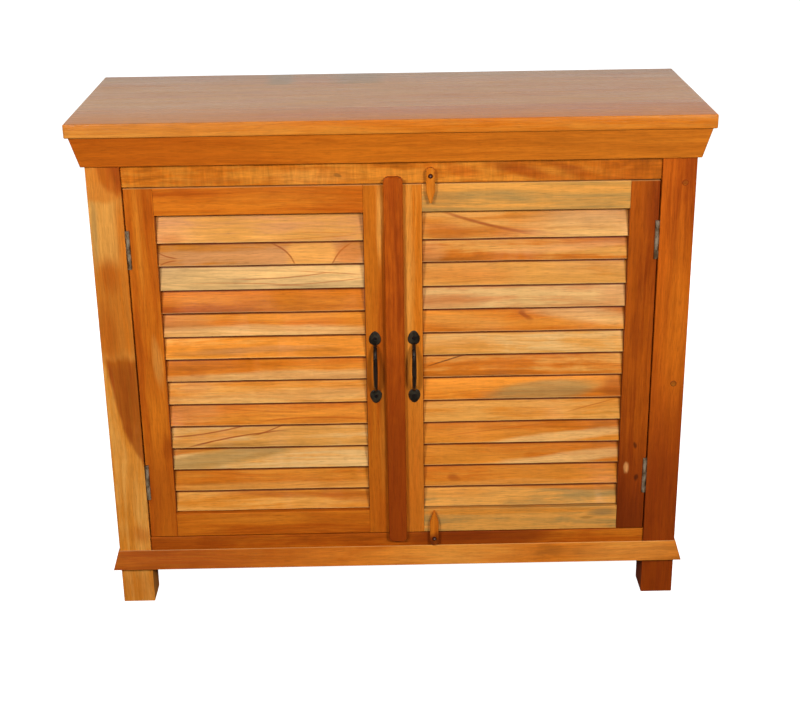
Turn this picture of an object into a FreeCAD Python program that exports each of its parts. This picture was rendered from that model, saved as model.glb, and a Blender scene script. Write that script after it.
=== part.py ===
import FreeCAD, Part
import math
import os
import re

import Sketcher

# A low sideboard of solid wood with two louvred doors, 1065 mm wide.
# X runs to the right, Y from the front to the back and Z up. The origin is on the floor, below
# the middle of the top, and the front is at -Y.

os.makedirs("parts", exist_ok=True)
doc = FreeCAD.newDocument("sideboard")
sheet = doc.addObject("Spreadsheet::Sheet", "sizes")

# Driving sizes, in millimetres, degrees and counts

DRIVING = {
    "width": (1065, "top, left end to right end"),
    "depth": (410, "top, front edge to back edge"),
    "height": (900, "floor to upper face of the top"),
    "top_thickness": (24, "top boards"),
    "top_board_count": (4, "boards glued edge to edge in the top"),
    "top_arris": (2.5, "rounding of the top's outer edges"),
    "side_overhang": (25, "top beyond the legs, each side"),
    "front_overhang": (25, "top beyond the legs, front"),
    "back_overhang": (10, "top beyond the legs, back"),
    "leg_size": (57, "square section of a leg"),
    "foot_height": (72, "floor to underside of the lower rails"),
    "reveal": (5, "rails and doors behind the legs' faces"),
    "rail_thickness": (24, "carcase rails"),
    "top_rail_show": (38, "upper front rail below the cornice"),
    "bottom_rail_show": (22.5, "lower front rail above the base moulding"),
    "tenon_gap": (10.5, "wood between two tenons that meet in a leg"),
    "tenon_thickness": (9, "carcase tenons"),
    "tenon_shoulder": (10, "step above and below a carcase tenon"),
    "panel_thickness": (12, "side panels"),
    "back_thickness": (10, "back panel"),
    "groove_depth": (6, "panels into legs and rails"),
    "floor_thickness": (15, "floor board"),
    "floor_drop": (4, "floor board below the lower front rail's edge"),
    "shelf_height": (455, "floor to the shelf's upper face"),
    "shelf_thickness": (18, "shelf"),
    "shelf_setback": (10, "shelf behind the doors"),
    "cleat_size": (20, "square cleats below shelf and floor board"),
    "cornice_height": (52, "cornice boards"),
    "cornice_top": (19, "cornice proud of the legs at its top"),
    "cornice_bottom": (6, "cornice proud of the legs at its bottom"),
    "moulding_height": (35, "base moulding"),
    "moulding_top": (2, "base moulding proud of the legs at its top"),
    "moulding_bottom": (12, "base moulding proud of the legs at its bottom"),
    "plug_radius": (3.5, "wooden plugs in the right front leg"),
    "plug_length": (9, "wooden plugs"),
    "plug_inset": (18.5, "plugs from the leg's outer face"),
    "upper_plug_height": (95.5, "upper plug below the top"),
    "lower_plug_height": (288.5, "lower plug above the lower front rail"),
    "door_clearance": (2, "door to leg and rails"),
    "meeting_clearance": (1.5, "door to door"),
    "door_thickness": (25, "stiles and rails of the doors"),
    "stile_width": (48.5, "door stiles"),
    "door_top_rail": (48, "height of a door's upper rail"),
    "door_bottom_rail": (45, "height of a door's lower rail"),
    "door_tenon_length": (28, "door rail tenons"),
    "door_tenon_thickness": (9, "door rail tenons"),
    "door_tenon_shoulder": (8, "step above and below a door rail tenon"),
    "slat_count": (13, "louvre slats in a door"),
    "slat_width": (50, "slat, along its slope"),
    "slat_thickness": (9, "slat"),
    "slat_gap": (1.2, "between lapping slats"),
    "slat_recess": (4, "lower edges of the slats behind the stiles' face"),
    "slat_clearance": (1, "first and last slat to the door's rails"),
    "slat_housing": (6, "ends of the slats let into the stiles"),
    "strip_width": (32.5, "astragal strip"),
    "strip_thickness": (11, "astragal strip"),
    "strip_reach": (15, "astragal strip over the left door"),
    "strip_top_lap": (12.5, "astragal strip over the upper front rail"),
    "strip_bottom_lap": (12.5, "astragal strip over the lower front rail"),
    "strip_corner": (9, "rounded corners of the astragal strip"),
    "strip_arris": (1.5, "eased front edges of the astragal strip"),
    "hinge_length": (67, "butt hinge, end to end"),
    "hinge_inset": (4, "hinge pin from the leg's inner face"),
    "hinge_proud": (1, "hinge pin in front of the doors' face"),
    "leaf_thickness": (1.2, "hinge leaves"),
    "leaf_width": (22, "hinge leaves, from the pin back"),
    "knuckle_count": (5, "knuckles of one hinge"),
    "knuckle_radius": (3.2, "hinge knuckles"),
    "knuckle_gap": (0.3, "between hinge knuckles"),
    "knuckle_room": (0.5, "door's notch round the knuckles"),
    "pin_radius": (1.5, "hinge pins"),
    "pin_fit": (0.05, "knuckle bore round the pin"),
    "left_upper_hinge": (106.5, "door's top to the hinge's middle"),
    "left_lower_hinge": (110, "door's bottom to the hinge's middle"),
    "right_upper_hinge": (103, "door's top to the hinge's middle"),
    "right_lower_hinge": (107, "door's bottom to the hinge's middle"),
    "leaf_screw_count": (3, "screws in one hinge leaf"),
    "leaf_screw_end": (10.5, "first and last screw of a leaf from the hinge's ends"),
    "leaf_screw_setback": (13, "screws of a hinge leaf behind the pin"),
    "leaf_screw_head": (2.9, "head radius"),
    "leaf_screw_shank": (1.4, "shank radius"),
    "leaf_screw_sink": (1.6, "depth of the countersunk head"),
    "leaf_screw_length": (15, "whole screw"),
    "handle_offset": (5.7, "handle's end plates from the astragal strip's edge"),
    "handle_height": (325, "door's bottom to the handle's middle"),
    "handle_length": (135, "tip to tip"),
    "spade_length": (27, "leaf shaped end plate"),
    "spade_width": (21, "leaf shaped end plate"),
    "spade_thickness": (2.5, "leaf shaped end plate"),
    "grip_radius": (3.8, "bowed grip"),
    "grip_reach": (22, "grip's middle line in front of the door"),
    "grip_bend": (11, "bend radius of the grip's middle line"),
    "grip_run_in": (14, "height over which the grip bows out"),
    "grip_lap": (1, "grip's middle line over its end plates"),
    "handle_screw_shank": (1.6, "shank radius"),
    "handle_screw_head": (3.2, "head radius"),
    "handle_screw_dome": (1.6, "height of the head"),
    "handle_screw_length": (16, "screw below its head"),
    "button_thickness": (10, "turn buttons"),
    "button_gap": (0.4, "turn buttons in front of doors and rails"),
    "button_bevel": (1.3, "bevelled front edges of the turn buttons"),
    "button_tip": (3.4, "width of a turn button's blunt tip"),
    "button_taper": (20, "length of a turn button's tapered end"),
    "button_end_flat": (0.4, "flat between the roundings of a turn button's end"),
    "top_button_width": (15, "upper turn button"),
    "top_button_length": (60.6, "upper turn button"),
    "top_button_end": (13.6, "screw to the upper button's round end"),
    "top_button_offset": (63.8, "upper screw from the middle of the front"),
    "top_button_height": (13.8, "upper button's screw above the upper rail's lower edge"),
    "bottom_button_width": (15.5, "lower turn button"),
    "bottom_button_length": (67, "lower turn button"),
    "bottom_button_end": (14.6, "screw to the lower button's round end"),
    "bottom_button_offset": (67.5, "lower screw from the middle of the front"),
    "bottom_button_height": (0.6, "lower button's round end above the base moulding"),
    "button_screw_shank": (2, "shank radius"),
    "button_screw_fit": (0.08, "button's hole round the shank"),
    "button_screw_head": (3.4, "head radius"),
    "button_screw_dome": (1.8, "height of the head"),
    "button_screw_bite": (18, "shank in the rail"),
    "screw_crown": (0.6, "flat crown of a domed screw head over its head radius"),
}

# Sizes that follow from the driving ones

DERIVED = {
    "body_height": "height - top_thickness",
    "half_body": "width / 2 - side_overhang",
    "half_opening": "half_body - leg_size",
    "top_rail_height": "cornice_height + top_rail_show",
    "bottom_rail_height": "moulding_height + bottom_rail_show",
    "tenon_middle": "reveal + rail_thickness / 2",
    "tenon_length": "leg_size - tenon_middle - tenon_thickness / 2 - tenon_gap",
    "leg_front": "depth / 2 - front_overhang",
    "leg_back": "depth / 2 - back_overhang",
    "face": "leg_front - reveal",
    "face_back": "face - door_thickness",
    "rear_rail": "leg_back - reveal - rail_thickness",
    "side_rail": "half_body - reveal - rail_thickness",
    "side_panel": "side_rail + (rail_thickness - panel_thickness) / 2",
    "back_panel_front": "rear_rail + (rail_thickness - back_thickness) / 2",
    "opening_bottom": "foot_height + bottom_rail_height",
    "opening_top": "body_height - top_rail_height",
    "floor_top": "opening_bottom - floor_drop",
    "door_bottom": "opening_bottom + door_clearance",
    "door_top": "opening_top - door_clearance",
    "door_near": "meeting_clearance / 2",
    "door_far": "half_opening - door_clearance",
    "field_bottom": "door_bottom + door_bottom_rail",
    "field_top": "door_top - door_top_rail",
    "slat_tilt": "asin((slat_thickness + slat_gap) * slat_count / (field_top - field_bottom))",
    "slat_rise": "slat_width * cos(slat_tilt)",
    "slat_lean": "slat_width * sin(slat_tilt)",
    "slat_edge_rise": "slat_thickness * sin(slat_tilt)",
    "slat_edge_lean": "slat_thickness * cos(slat_tilt)",
    "slat_travel": "field_top - field_bottom - slat_rise - slat_edge_rise - 2 * slat_clearance",
    "slat_length": "door_far - door_near - 2 * stile_width + 2 * slat_housing",
    "pin_offset": "half_opening - hinge_inset",
    "pin_front": "face + hinge_proud",
    "notch_radius": "knuckle_radius + knuckle_room",
    "knuckle_length": "(hinge_length - (knuckle_count - 1) * knuckle_gap) / knuckle_count",
    "leaf_screw_spacing": "(hinge_length - 2 * leaf_screw_end) / (leaf_screw_count - 1)",
    "left_upper_level": "door_top - left_upper_hinge",
    "left_lower_level": "door_bottom + left_lower_hinge",
    "right_upper_level": "door_top - right_upper_hinge",
    "right_lower_level": "door_bottom + right_lower_hinge",
    "handle_middle": "strip_width - strip_reach + handle_offset + spade_width / 2",
    "handle_level": "door_bottom + handle_height",
    "moulding_edge": "foot_height + moulding_height",
    "top_button_level": "opening_top + top_button_height",
    "bottom_button_level": "moulding_edge + bottom_button_height + bottom_button_end",
    "upper_plug_level": "body_height - upper_plug_height",
    "lower_plug_level": "opening_bottom + lower_plug_height",
    "button_back": "face + button_gap",
    "button_front": "button_back + button_thickness",
}

SIDES = {"left": -1, "right": 1}


def fill_sheet():
    """Writes each size with its meaning and its alias, driving sizes first."""
    row = 0
    for alias, (number, meaning) in DRIVING.items():
        row += 1
        sheet.set(f"A{row}", meaning)
        sheet.set(f"B{row}", str(number))
        sheet.setAlias(f"B{row}", alias)
    for alias, formula in DERIVED.items():
        row += 1
        sheet.set(f"B{row}", "=" + formula)
        sheet.setAlias(f"B{row}", alias)
    doc.recompute()


def size(alias):
    """A size from the sheet as a plain number."""
    found = sheet.get(alias)
    return float(getattr(found, "Value", found))


def bind(target, setting, formula):
    """Ties one property of an object to sizes in the sheet."""
    words = re.split(r"([a-z_]+)", formula)
    words = ["sizes." + word if word in KNOWN else word for word in words]
    target.setExpression(setting, "".join(words))


def place(target, x, y, z):
    """Ties the position of an object to sizes in the sheet."""
    for axis, formula in zip("xyz", (x, y, z)):
        bind(target, f"Placement.Base.{axis}", formula)


def named(made, label):
    made.Label = label
    return made


def span(side, near, far):
    """The low and high X of what lies between two distances from the middle, on one side."""
    return (near, far) if side == "right" else (f"-({far})", f"-({near})")


def at(side, distance):
    """The X of a point at a distance from the middle, on one side."""
    return distance if side == "right" else f"-({distance})"


def block(label, x, y, z):
    """A rectangular solid between two planes along each axis."""
    made = named(doc.addObject("Part::Box", label), label)
    for length, axis, (low, high) in zip(("Length", "Width", "Height"), "xyz", (x, y, z)):
        bind(made, length, f"({high}) - ({low})")
        bind(made, f"Placement.Base.{axis}", low)
    return made


def cut(label, base, tools):
    """One solid less all that is let into it."""
    made = named(doc.addObject("Part::Cut", label), label)
    made.Base = base
    made.Tool = tools[0] if len(tools) == 1 else group(label + "_inserts", tools)
    return made


def fuse(label, solids):
    made = named(doc.addObject("Part::MultiFuse", label), label)
    made.Shapes = solids
    made.Refine = True
    return made


def group(label, solids):
    """Separate solids that share one name."""
    made = named(doc.addObject("Part::Compound", label), label)
    made.Links = solids
    return made


def round_bar(label, radius, length, direction, end=None):
    """A cylinder, or with an end radius a cone, along +X, -X, +Y or +Z."""
    turns = {
        "+X": FreeCAD.Rotation(FreeCAD.Vector(0, 1, 0), 90),
        "-X": FreeCAD.Rotation(FreeCAD.Vector(0, 1, 0), -90),
        "+Y": FreeCAD.Rotation(FreeCAD.Vector(1, 0, 0), -90),
        "+Z": FreeCAD.Rotation(),
    }
    kind = "Part::Cylinder" if end is None else "Part::Cone"
    made = named(doc.addObject(kind, label), label)
    made.Placement = FreeCAD.Placement(FreeCAD.Vector(), turns[direction])
    bind(made, "Height", length)
    if end is None:
        bind(made, "Radius", radius)
    else:
        bind(made, "Radius1", radius)
        bind(made, "Radius2", end)
    return made


def origin_part(body, role):
    return next(f for f in body.Origin.OriginFeatures if f.Role == role)


def new_sketch(body, label, plane):
    sketch = body.newObject("Sketcher::SketchObject", label)
    sketch.AttachmentSupport = [(origin_part(body, plane), "")]
    sketch.MapMode = "FlatFace"
    return sketch


def pin_point(sketch, line, end, across, up, rough):
    """Dimensions one point from the sketch's origin, or puts it on an axis where that is 0."""
    for kind, formula, axis, guess in (
        ("DistanceX", across, -2, rough[0]),
        ("DistanceY", up, -1, rough[1]),
    ):
        if formula == "0":
            sketch.addConstraint(Sketcher.Constraint("PointOnObject", line, end, axis))
            continue
        number = sketch.addConstraint(Sketcher.Constraint(kind, -1, 1, line, end, guess))
        bind(sketch, f"Constraints[{number}]", formula)


def draw_outline(sketch, corners):
    """A closed outline of straight lines, each corner dimensioned from the origin.

    Corners run counter-clockwise. The lines start on a rough circle, and the dimensions then
    bring each corner to its place.
    """
    first = sketch.GeometryCount
    count = len(corners)
    rough = []
    for n in range(count):
        angle = 2 * math.pi * n / count
        rough.append((40 + 30 * math.cos(angle), 40 + 30 * math.sin(angle)))
    for n in range(count):
        start = FreeCAD.Vector(*rough[n], 0)
        end = FreeCAD.Vector(*rough[(n + 1) % count], 0)
        sketch.addGeometry(Part.LineSegment(start, end), False)
    for n in range(count):
        following = first + (n + 1) % count
        sketch.addConstraint(Sketcher.Constraint("Coincident", first + n, 2, following, 1))
    for n, (across, up) in enumerate(corners):
        pin_point(sketch, first + n, 1, across, up, rough[n])


def draw_circle(sketch, across, up, radius):
    rough = (20, 20)
    middle = FreeCAD.Vector(*rough, 0)
    circle = sketch.addGeometry(Part.Circle(middle, FreeCAD.Vector(0, 0, 1), 2), False)
    pin_point(sketch, circle, 3, across, up, rough)
    number = sketch.addConstraint(Sketcher.Constraint("Radius", circle, 2))
    bind(sketch, f"Constraints[{number}]", radius)


def prism(label, plane, corners, length):
    """A body whose first feature is an outline padded along +X (YZ), +Y (XZ) or +Z (XY)."""
    body = named(doc.addObject("PartDesign::Body", label), label)
    sketch = new_sketch(body, label + "_outline", plane)
    draw_outline(sketch, corners)
    pad = body.newObject("PartDesign::Pad", label + "_pad")
    pad.Profile = sketch
    pad.Reversed = plane == "XZ_Plane"
    bind(pad, "Length", length)
    doc.recompute()
    return body


def pocket_through(body, label, plane, outlines=(), circles=()):
    """Cuts outlines or round holes right through a body, and checks that they cut."""
    before = body.Shape.Volume
    sketch = new_sketch(body, label + "_outline", plane)
    for corners in outlines:
        draw_outline(sketch, corners)
    for across, up, radius in circles:
        draw_circle(sketch, across, up, radius)
    pocket = body.newObject("PartDesign::Pocket", label)
    pocket.Profile = sketch
    pocket.Type = "ThroughAll"
    pocket.Midplane = True
    doc.recompute()
    if not body.Shape.Volume < before:
        raise RuntimeError(label + " cuts nothing")


def edges_where(body, wanted):
    """Names of the body's edges whose middle and direction satisfy a test."""
    names = []
    for number, edge in enumerate(body.Shape.Edges, 1):
        middle = edge.CenterOfMass
        along = edge.tangentAt((edge.FirstParameter + edge.LastParameter) / 2)
        if wanted(middle, along, edge):
            names.append(f"Edge{number}")
    return names


def ease(body, label, kind, radius, wanted):
    """Rounds (Fillet) or bevels (Chamfer) the edges that satisfy a test."""
    before = body.Tip
    edges = edges_where(body, wanted)
    made = body.newObject("PartDesign::" + kind, label)
    made.Base = (before, edges)
    bind(made, "Radius" if kind == "Fillet" else "Size", radius)
    doc.recompute()
    if not made.Shape.Volume < before.Shape.Volume:
        raise RuntimeError(label + " takes nothing away")


KNOWN = set(DRIVING) | set(DERIVED)
fill_sheet()
NODES = []


def keep(*pieces):
    """Marks finished pieces, which are written at the end."""
    NODES.extend(pieces)
    return pieces[0]


# Legs, still without their mortises

BODY_DEPTHS = {
    "front": ("-leg_front", "-leg_front + leg_size"),
    "back": ("leg_back - leg_size", "leg_back"),
}
legs = {}
for end, depths in BODY_DEPTHS.items():
    for side in SIDES:
        across = span(side, "half_opening", "half_body")
        legs[end, side] = block(f"leg_{end}_{side}_blank", across, depths, ("0", "body_height"))
leg_blanks = list(legs.values())
let_into_legs = {key: [] for key in legs}

# Carcase rails, tenoned into the legs

RAIL_LEVELS = {
    "top": ("opening_top", "body_height"),
    "bottom": ("foot_height", "opening_bottom"),
}
rails = {}


def tenoned_rail(label, x, y, z, ends, tenon_thickness, tenon_shoulder, tenon_length):
    """A rail with a thinner, lower tenon at both ends, along X or Y."""
    body = block(label + "_rail", x, y, z)
    thin = y if ends == "x" else x
    middle = f"({thin[0]} + {thin[1]}) / 2"
    cheeks = (f"{middle} - {tenon_thickness} / 2", f"{middle} + {tenon_thickness} / 2")
    long = x if ends == "x" else y
    reach = (f"{long[0]} - {tenon_length}", f"{long[1]} + {tenon_length}")
    levels = (f"{z[0]} + {tenon_shoulder}", f"{z[1]} - {tenon_shoulder}")
    spans = (reach, cheeks, levels) if ends == "x" else (cheeks, reach, levels)
    return fuse(label + "_tenoned", [body, block(label + "_tenon", *spans)])


CARCASE_TENON = ("tenon_thickness", "tenon_shoulder", "tenon_length")
for level, heights in RAIL_LEVELS.items():
    across = ("-half_opening", "half_opening")
    for end, depths in (
        ("front", ("-face", "-face + rail_thickness")),
        ("back", ("rear_rail", "rear_rail + rail_thickness")),
    ):
        label = f"{end}_{level}_rail"
        rails[label] = tenoned_rail(label, across, depths, heights, "x", *CARCASE_TENON)
        for side in SIDES:
            let_into_legs[end, side].append(rails[label])
    for side in SIDES:
        label = f"{side}_side_{level}_rail"
        across_side = span(side, "side_rail", "side_rail + rail_thickness")
        depths = ("-leg_front + leg_size", "leg_back - leg_size")
        rails[label] = tenoned_rail(label, across_side, depths, heights, "y", *CARCASE_TENON)
        for end in BODY_DEPTHS:
            let_into_legs[end, side].append(rails[label])

# Side and back panels, in grooves of the legs and rails

PANEL_HEIGHTS = ("opening_bottom - groove_depth", "opening_top + groove_depth")
let_into_rails = {label: [] for label in rails}
for side in SIDES:
    across = span(side, "side_panel", "side_panel + panel_thickness")
    depths = ("-leg_front + leg_size - groove_depth", "leg_back - leg_size + groove_depth")
    panel = keep(block(f"{side}_side_panel", across, depths, PANEL_HEIGHTS))
    for end in BODY_DEPTHS:
        let_into_legs[end, side].append(panel)
    for level in RAIL_LEVELS:
        let_into_rails[f"{side}_side_{level}_rail"].append(panel)
across = ("-half_opening - groove_depth", "half_opening + groove_depth")
depths = ("back_panel_front", "back_panel_front + back_thickness")
back_panel = keep(block("back_panel", across, depths, PANEL_HEIGHTS))
for side in SIDES:
    let_into_legs["back", side].append(back_panel)
for level in RAIL_LEVELS:
    let_into_rails[f"back_{level}_rail"].append(back_panel)

# Floor board and shelf, notched round the legs, on square cleats

floor_heights = ("floor_top - floor_thickness", "floor_top")
floor_blank = block(
    "floor_board_blank",
    ("-side_rail", "side_rail"),
    ("-face + rail_thickness", "rear_rail"),
    floor_heights,
)
keep(cut("floor_board", floor_blank, leg_blanks))
shelf_depths = ("-face_back + shelf_setback", "back_panel_front")
shelf_blank = block(
    "shelf_blank",
    ("-side_panel", "side_panel"),
    shelf_depths,
    ("shelf_height - shelf_thickness", "shelf_height"),
)
keep(cut("shelf", shelf_blank, leg_blanks))
below_floor = ("floor_top - floor_thickness - cleat_size", "floor_top - floor_thickness")
below_shelf = ("shelf_height - shelf_thickness - cleat_size", "shelf_height - shelf_thickness")
floor_cleats = []
shelf_cleats = []
for side in SIDES:
    across = span(side, "side_rail - cleat_size", "side_rail")
    depths = ("-leg_front + leg_size + cleat_size", "leg_back - leg_size - cleat_size")
    floor_cleats.append(block(f"floor_cleat_{side}", across, depths, below_floor))
    across = span(side, "half_opening - cleat_size", "half_opening")
    shelf_cleats.append(block(f"shelf_cleat_{side}", across, shelf_depths, below_shelf))
for end, depths in (
    ("front", ("-face + rail_thickness", "-face + rail_thickness + cleat_size")),
    ("back", ("rear_rail - cleat_size", "rear_rail")),
):
    across = ("-half_opening", "half_opening")
    floor_cleats.append(block(f"floor_cleat_{end}", across, depths, below_floor))
keep(group("floor_cleats", floor_cleats))
keep(group("shelf_cleats", shelf_cleats))

# Top of boards glued edge to edge, its outer edges rounded

whole_top = prism(
    "whole_top",
    "XY_Plane",
    [("0", "0"), ("width", "0"), ("width", "depth"), ("0", "depth")],
    "top_thickness",
)
place(whole_top, "-width / 2", "-depth / 2", "body_height")
ease(whole_top, "top_arris_round", "Fillet", "top_arris", lambda middle, along, edge: True)
board_depth = "depth / top_board_count"
for number in range(int(size("top_board_count"))):
    strip = block(
        f"top_board_{number + 1}_strip",
        ("-width / 2", "width / 2"),
        (f"-depth / 2 + {number} * {board_depth}", f"-depth / 2 + {number + 1} * {board_depth}"),
        ("body_height", "height"),
    )
    board = named(doc.addObject("Part::Common", "board"), f"top_board_{number + 1}")
    board.Base = whole_top
    board.Tool = strip
    keep(board)

# Cornice under the top and moulding round the base: splayed boards, mitred at the front corners


def mitred_front(label, profile, proud, bottom):
    """A splayed board along the front. Its local Y is 0 at the foremost edge."""
    full = f"2 * half_body + 2 * {proud}"
    body = prism(label, "YZ_Plane", profile, full)
    left = [("0", "0"), (proud, proud), ("0", proud)]
    right = [(full, "0"), (full, proud), (f"{full} - {proud}", proud)]
    pocket_through(body, label + "_mitres", "XY_Plane", outlines=(left, right))
    place(body, f"-half_body - {proud}", f"-leg_front - {proud}", bottom)
    return keep(body)


def mitred_side(label, side, profile, proud, bottom):
    """A splayed board along one side, from the front mitre to the back of the legs."""
    body = prism(label, "XZ_Plane", profile, f"leg_front + leg_back + {proud}")
    if side == "left":
        mitre = [("0", "0"), (proud, "0"), (proud, proud)]
    else:
        mitre = [("0", "0"), (proud, "0"), ("0", proud)]
    pocket_through(body, label + "_mitre", "XY_Plane", outlines=(mitre,))
    inner = "-half_body - " + proud if side == "left" else "half_body"
    place(body, inner, f"-leg_front - {proud}", bottom)
    return keep(body)


cornice_step = "cornice_top - cornice_bottom"
cornice_outward_left = [
    (cornice_step, "0"),
    ("cornice_top", "0"),
    ("cornice_top", "cornice_height"),
    ("0", "cornice_height"),
]
cornice_outward_right = [
    ("0", "0"),
    ("cornice_bottom", "0"),
    ("cornice_top", "cornice_height"),
    ("0", "cornice_height"),
]
cornice_level = "body_height - cornice_height"
mitred_front("cornice_front", cornice_outward_left, "cornice_top", cornice_level)
mitred_side("cornice_left", "left", cornice_outward_left, "cornice_top", cornice_level)
mitred_side("cornice_right", "right", cornice_outward_right, "cornice_top", cornice_level)

moulding_step = "moulding_bottom - moulding_top"
moulding_outward_left = [
    ("0", "0"),
    ("moulding_bottom", "0"),
    ("moulding_bottom", "moulding_height"),
    (moulding_step, "moulding_height"),
]
moulding_outward_right = [
    ("0", "0"),
    ("moulding_bottom", "0"),
    ("moulding_top", "moulding_height"),
    ("0", "moulding_height"),
]
base_level = "foot_height"
mitred_front("base_moulding_front", moulding_outward_left, "moulding_bottom", base_level)
mitred_side("base_moulding_left", "left", moulding_outward_left, "moulding_bottom", base_level)
mitred_side("base_moulding_right", "right", moulding_outward_right, "moulding_bottom", base_level)

# Doors: stiles and rails round a field of lapping slats

door_pieces = {}
DOOR_DEPTHS = ("-face", "-face_back")
for side in SIDES:
    heights = ("door_bottom", "door_top")
    hinge_stile = block(
        f"{side}_hinge_stile_blank",
        span(side, "door_far - stile_width", "door_far"),
        DOOR_DEPTHS,
        heights,
    )
    meeting_stile = block(
        f"{side}_meeting_stile_blank",
        span(side, "door_near", "door_near + stile_width"),
        DOOR_DEPTHS,
        heights,
    )
    between = span(side, "door_near + stile_width", "door_far - stile_width")
    tenon = ("door_tenon_thickness", "door_tenon_shoulder", "door_tenon_length")
    top_rail = tenoned_rail(
        f"{side}_door_top_rail", between, DOOR_DEPTHS, ("field_top", "door_top"), "x", *tenon
    )
    bottom_rail = tenoned_rail(
        f"{side}_door_bottom_rail", between, DOOR_DEPTHS, ("door_bottom", "field_bottom"), "x", *tenon
    )
    for made, label in ((top_rail, "top_rail"), (bottom_rail, "bottom_rail")):
        keep(named(made, f"{side}_door_{label}"))
    slats = prism(
        f"{side}_door_slats",
        "YZ_Plane",
        [
            ("slat_edge_lean", "0"),
            ("slat_lean + slat_edge_lean", "slat_rise"),
            ("slat_lean", "slat_rise + slat_edge_rise"),
            ("0", "slat_edge_rise"),
        ],
        "slat_length",
    )
    pattern = slats.newObject("PartDesign::LinearPattern", f"{side}_slat_pattern")
    pattern.Originals = [slats.Tip]
    pattern.Direction = (origin_part(slats, "Z_Axis"), [""])
    bind(pattern, "Length", "slat_travel")
    bind(pattern, "Occurrences", "slat_count")
    slats.Tip = pattern
    near_end = "door_near + stile_width - slat_housing"
    far_end = "door_far - stile_width + slat_housing"
    left_end = span(side, near_end, far_end)[0]
    place(slats, left_end, "-face + slat_recess", "field_bottom + slat_clearance")
    doc.recompute()
    if len(slats.Shape.Solids) != int(size("slat_count")):
        raise RuntimeError("the slats of a door run into each other")
    keep(slats)
    door_pieces[side] = {
        "hinge_stile": hinge_stile,
        "meeting_stile": meeting_stile,
        "into_hinge_stile": [top_rail, bottom_rail, slats],
        "into_meeting_stile": [top_rail, bottom_rail, slats],
    }

# Astragal strip on the right door's meeting stile, lapping over the left door and both rails

strip_height = "door_top - door_bottom + strip_top_lap + strip_bottom_lap + 2 * door_clearance"
astragal = prism(
    "astragal",
    "XZ_Plane",
    [("0", "0"), ("strip_width", "0"), ("strip_width", strip_height), ("0", strip_height)],
    "strip_thickness",
)
place(
    astragal,
    "-strip_reach",
    "-face - strip_thickness",
    "opening_bottom - strip_bottom_lap",
)
ease(
    astragal,
    "strip_corners",
    "Fillet",
    "strip_corner",
    lambda middle, along, edge: abs(along.y) > 0.9,
)
strip_front = -size("face") - size("strip_thickness")
ease(
    astragal,
    "strip_front_edges",
    "Chamfer",
    "strip_arris",
    lambda middle, along, edge: abs(middle.y - strip_front) < 0.01,
)
keep(astragal)

# Butt hinges: a leaf with three knuckles on the leg, a leaf with two on the door, and a pin


def screws_along(label, direction, x, y, levels, head, shank, sink, length):
    """Countersunk screws in a row up Z, their heads flush with a surface."""
    made = []
    for number, level in enumerate(levels, 1):
        top = round_bar(f"{label}_head_{number}", head, sink, direction, end=shank)
        body = round_bar(f"{label}_shank_{number}", shank, length, direction)
        for bar in (top, body):
            place(bar, x, y, level)
        made.append(fuse(f"{label}_{number}", [top, body]))
    return made


def hinge(side, middle):
    """One hinge. Returns the leg's leaf, the door's leaf, the pin, both rows of screws and the
    notch for the knuckles."""
    name = f"{side}_{middle}"
    low = f"{middle} - hinge_length / 2"
    whole = (low, f"{middle} + hinge_length / 2")
    pin_x = at(side, "pin_offset")
    on_leg = [
        block(
            name + "_leg_plate",
            span(side, "half_opening", "half_opening + leaf_thickness"),
            ("-pin_front - leaf_thickness", "-pin_front + leaf_width"),
            whole,
        )
    ]
    on_door = [
        block(
            name + "_door_plate",
            span(side, "door_far - leaf_thickness", "door_far"),
            ("-pin_front + notch_radius", "-pin_front + leaf_width"),
            whole,
        )
    ]
    for number in range(int(size("knuckle_count"))):
        start = f"{low} + {number} * (knuckle_length + knuckle_gap)"
        reach = (start, f"{start} + knuckle_length")
        barrel = round_bar(f"{name}_barrel_{number}", "knuckle_radius", "knuckle_length", "+Z")
        place(barrel, pin_x, "-pin_front", start)
        if number % 2 == 0:
            across = span(side, "pin_offset", "half_opening + leaf_thickness")
            depths = ("-pin_front - leaf_thickness", "-pin_front")
            on_leg += [barrel, block(f"{name}_strap_{number}", across, depths, reach)]
        else:
            across = span(side, "door_far - leaf_thickness", "door_far")
            depths = ("-pin_front", "-pin_front + notch_radius")
            on_door += [barrel, block(f"{name}_strap_{number}", across, depths, reach)]
    bore = round_bar(name + "_bore", "pin_radius + pin_fit", "hinge_length", "+Z")
    place(bore, pin_x, "-pin_front", low)
    pin = round_bar(name + "_pin", "pin_radius", "hinge_length", "+Z")
    place(pin, pin_x, "-pin_front", low)
    count = int(size("leaf_screw_count"))
    levels = []
    for number in range(count):
        levels.append(f"{middle} + ({number} - {(count - 1) / 2}) * leaf_screw_spacing")
    outward = "+X" if side == "right" else "-X"
    inward = "-X" if side == "right" else "+X"
    sizes = ("leaf_screw_head", "leaf_screw_shank", "leaf_screw_sink", "leaf_screw_length")
    depth = "-pin_front + leaf_screw_setback"
    leg_screws = screws_along(
        name + "_leg_screw", outward, at(side, "half_opening"), depth, levels, *sizes
    )
    door_screws = screws_along(
        name + "_door_screw", inward, at(side, "door_far"), depth, levels, *sizes
    )
    leg_leaf = cut(name + "_leg_leaf", fuse(name + "_leg_leaf_plain", on_leg), [bore] + leg_screws)
    door_leaf = cut(
        name + "_door_leaf", fuse(name + "_door_leaf_plain", on_door), [bore] + door_screws
    )
    notch = round_bar(name + "_notch", "notch_radius", "hinge_length + 2 * knuckle_room", "+Z")
    place(notch, pin_x, "-pin_front", f"{low} - knuckle_room")
    return leg_leaf, door_leaf, pin, leg_screws, door_screws, notch


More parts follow.
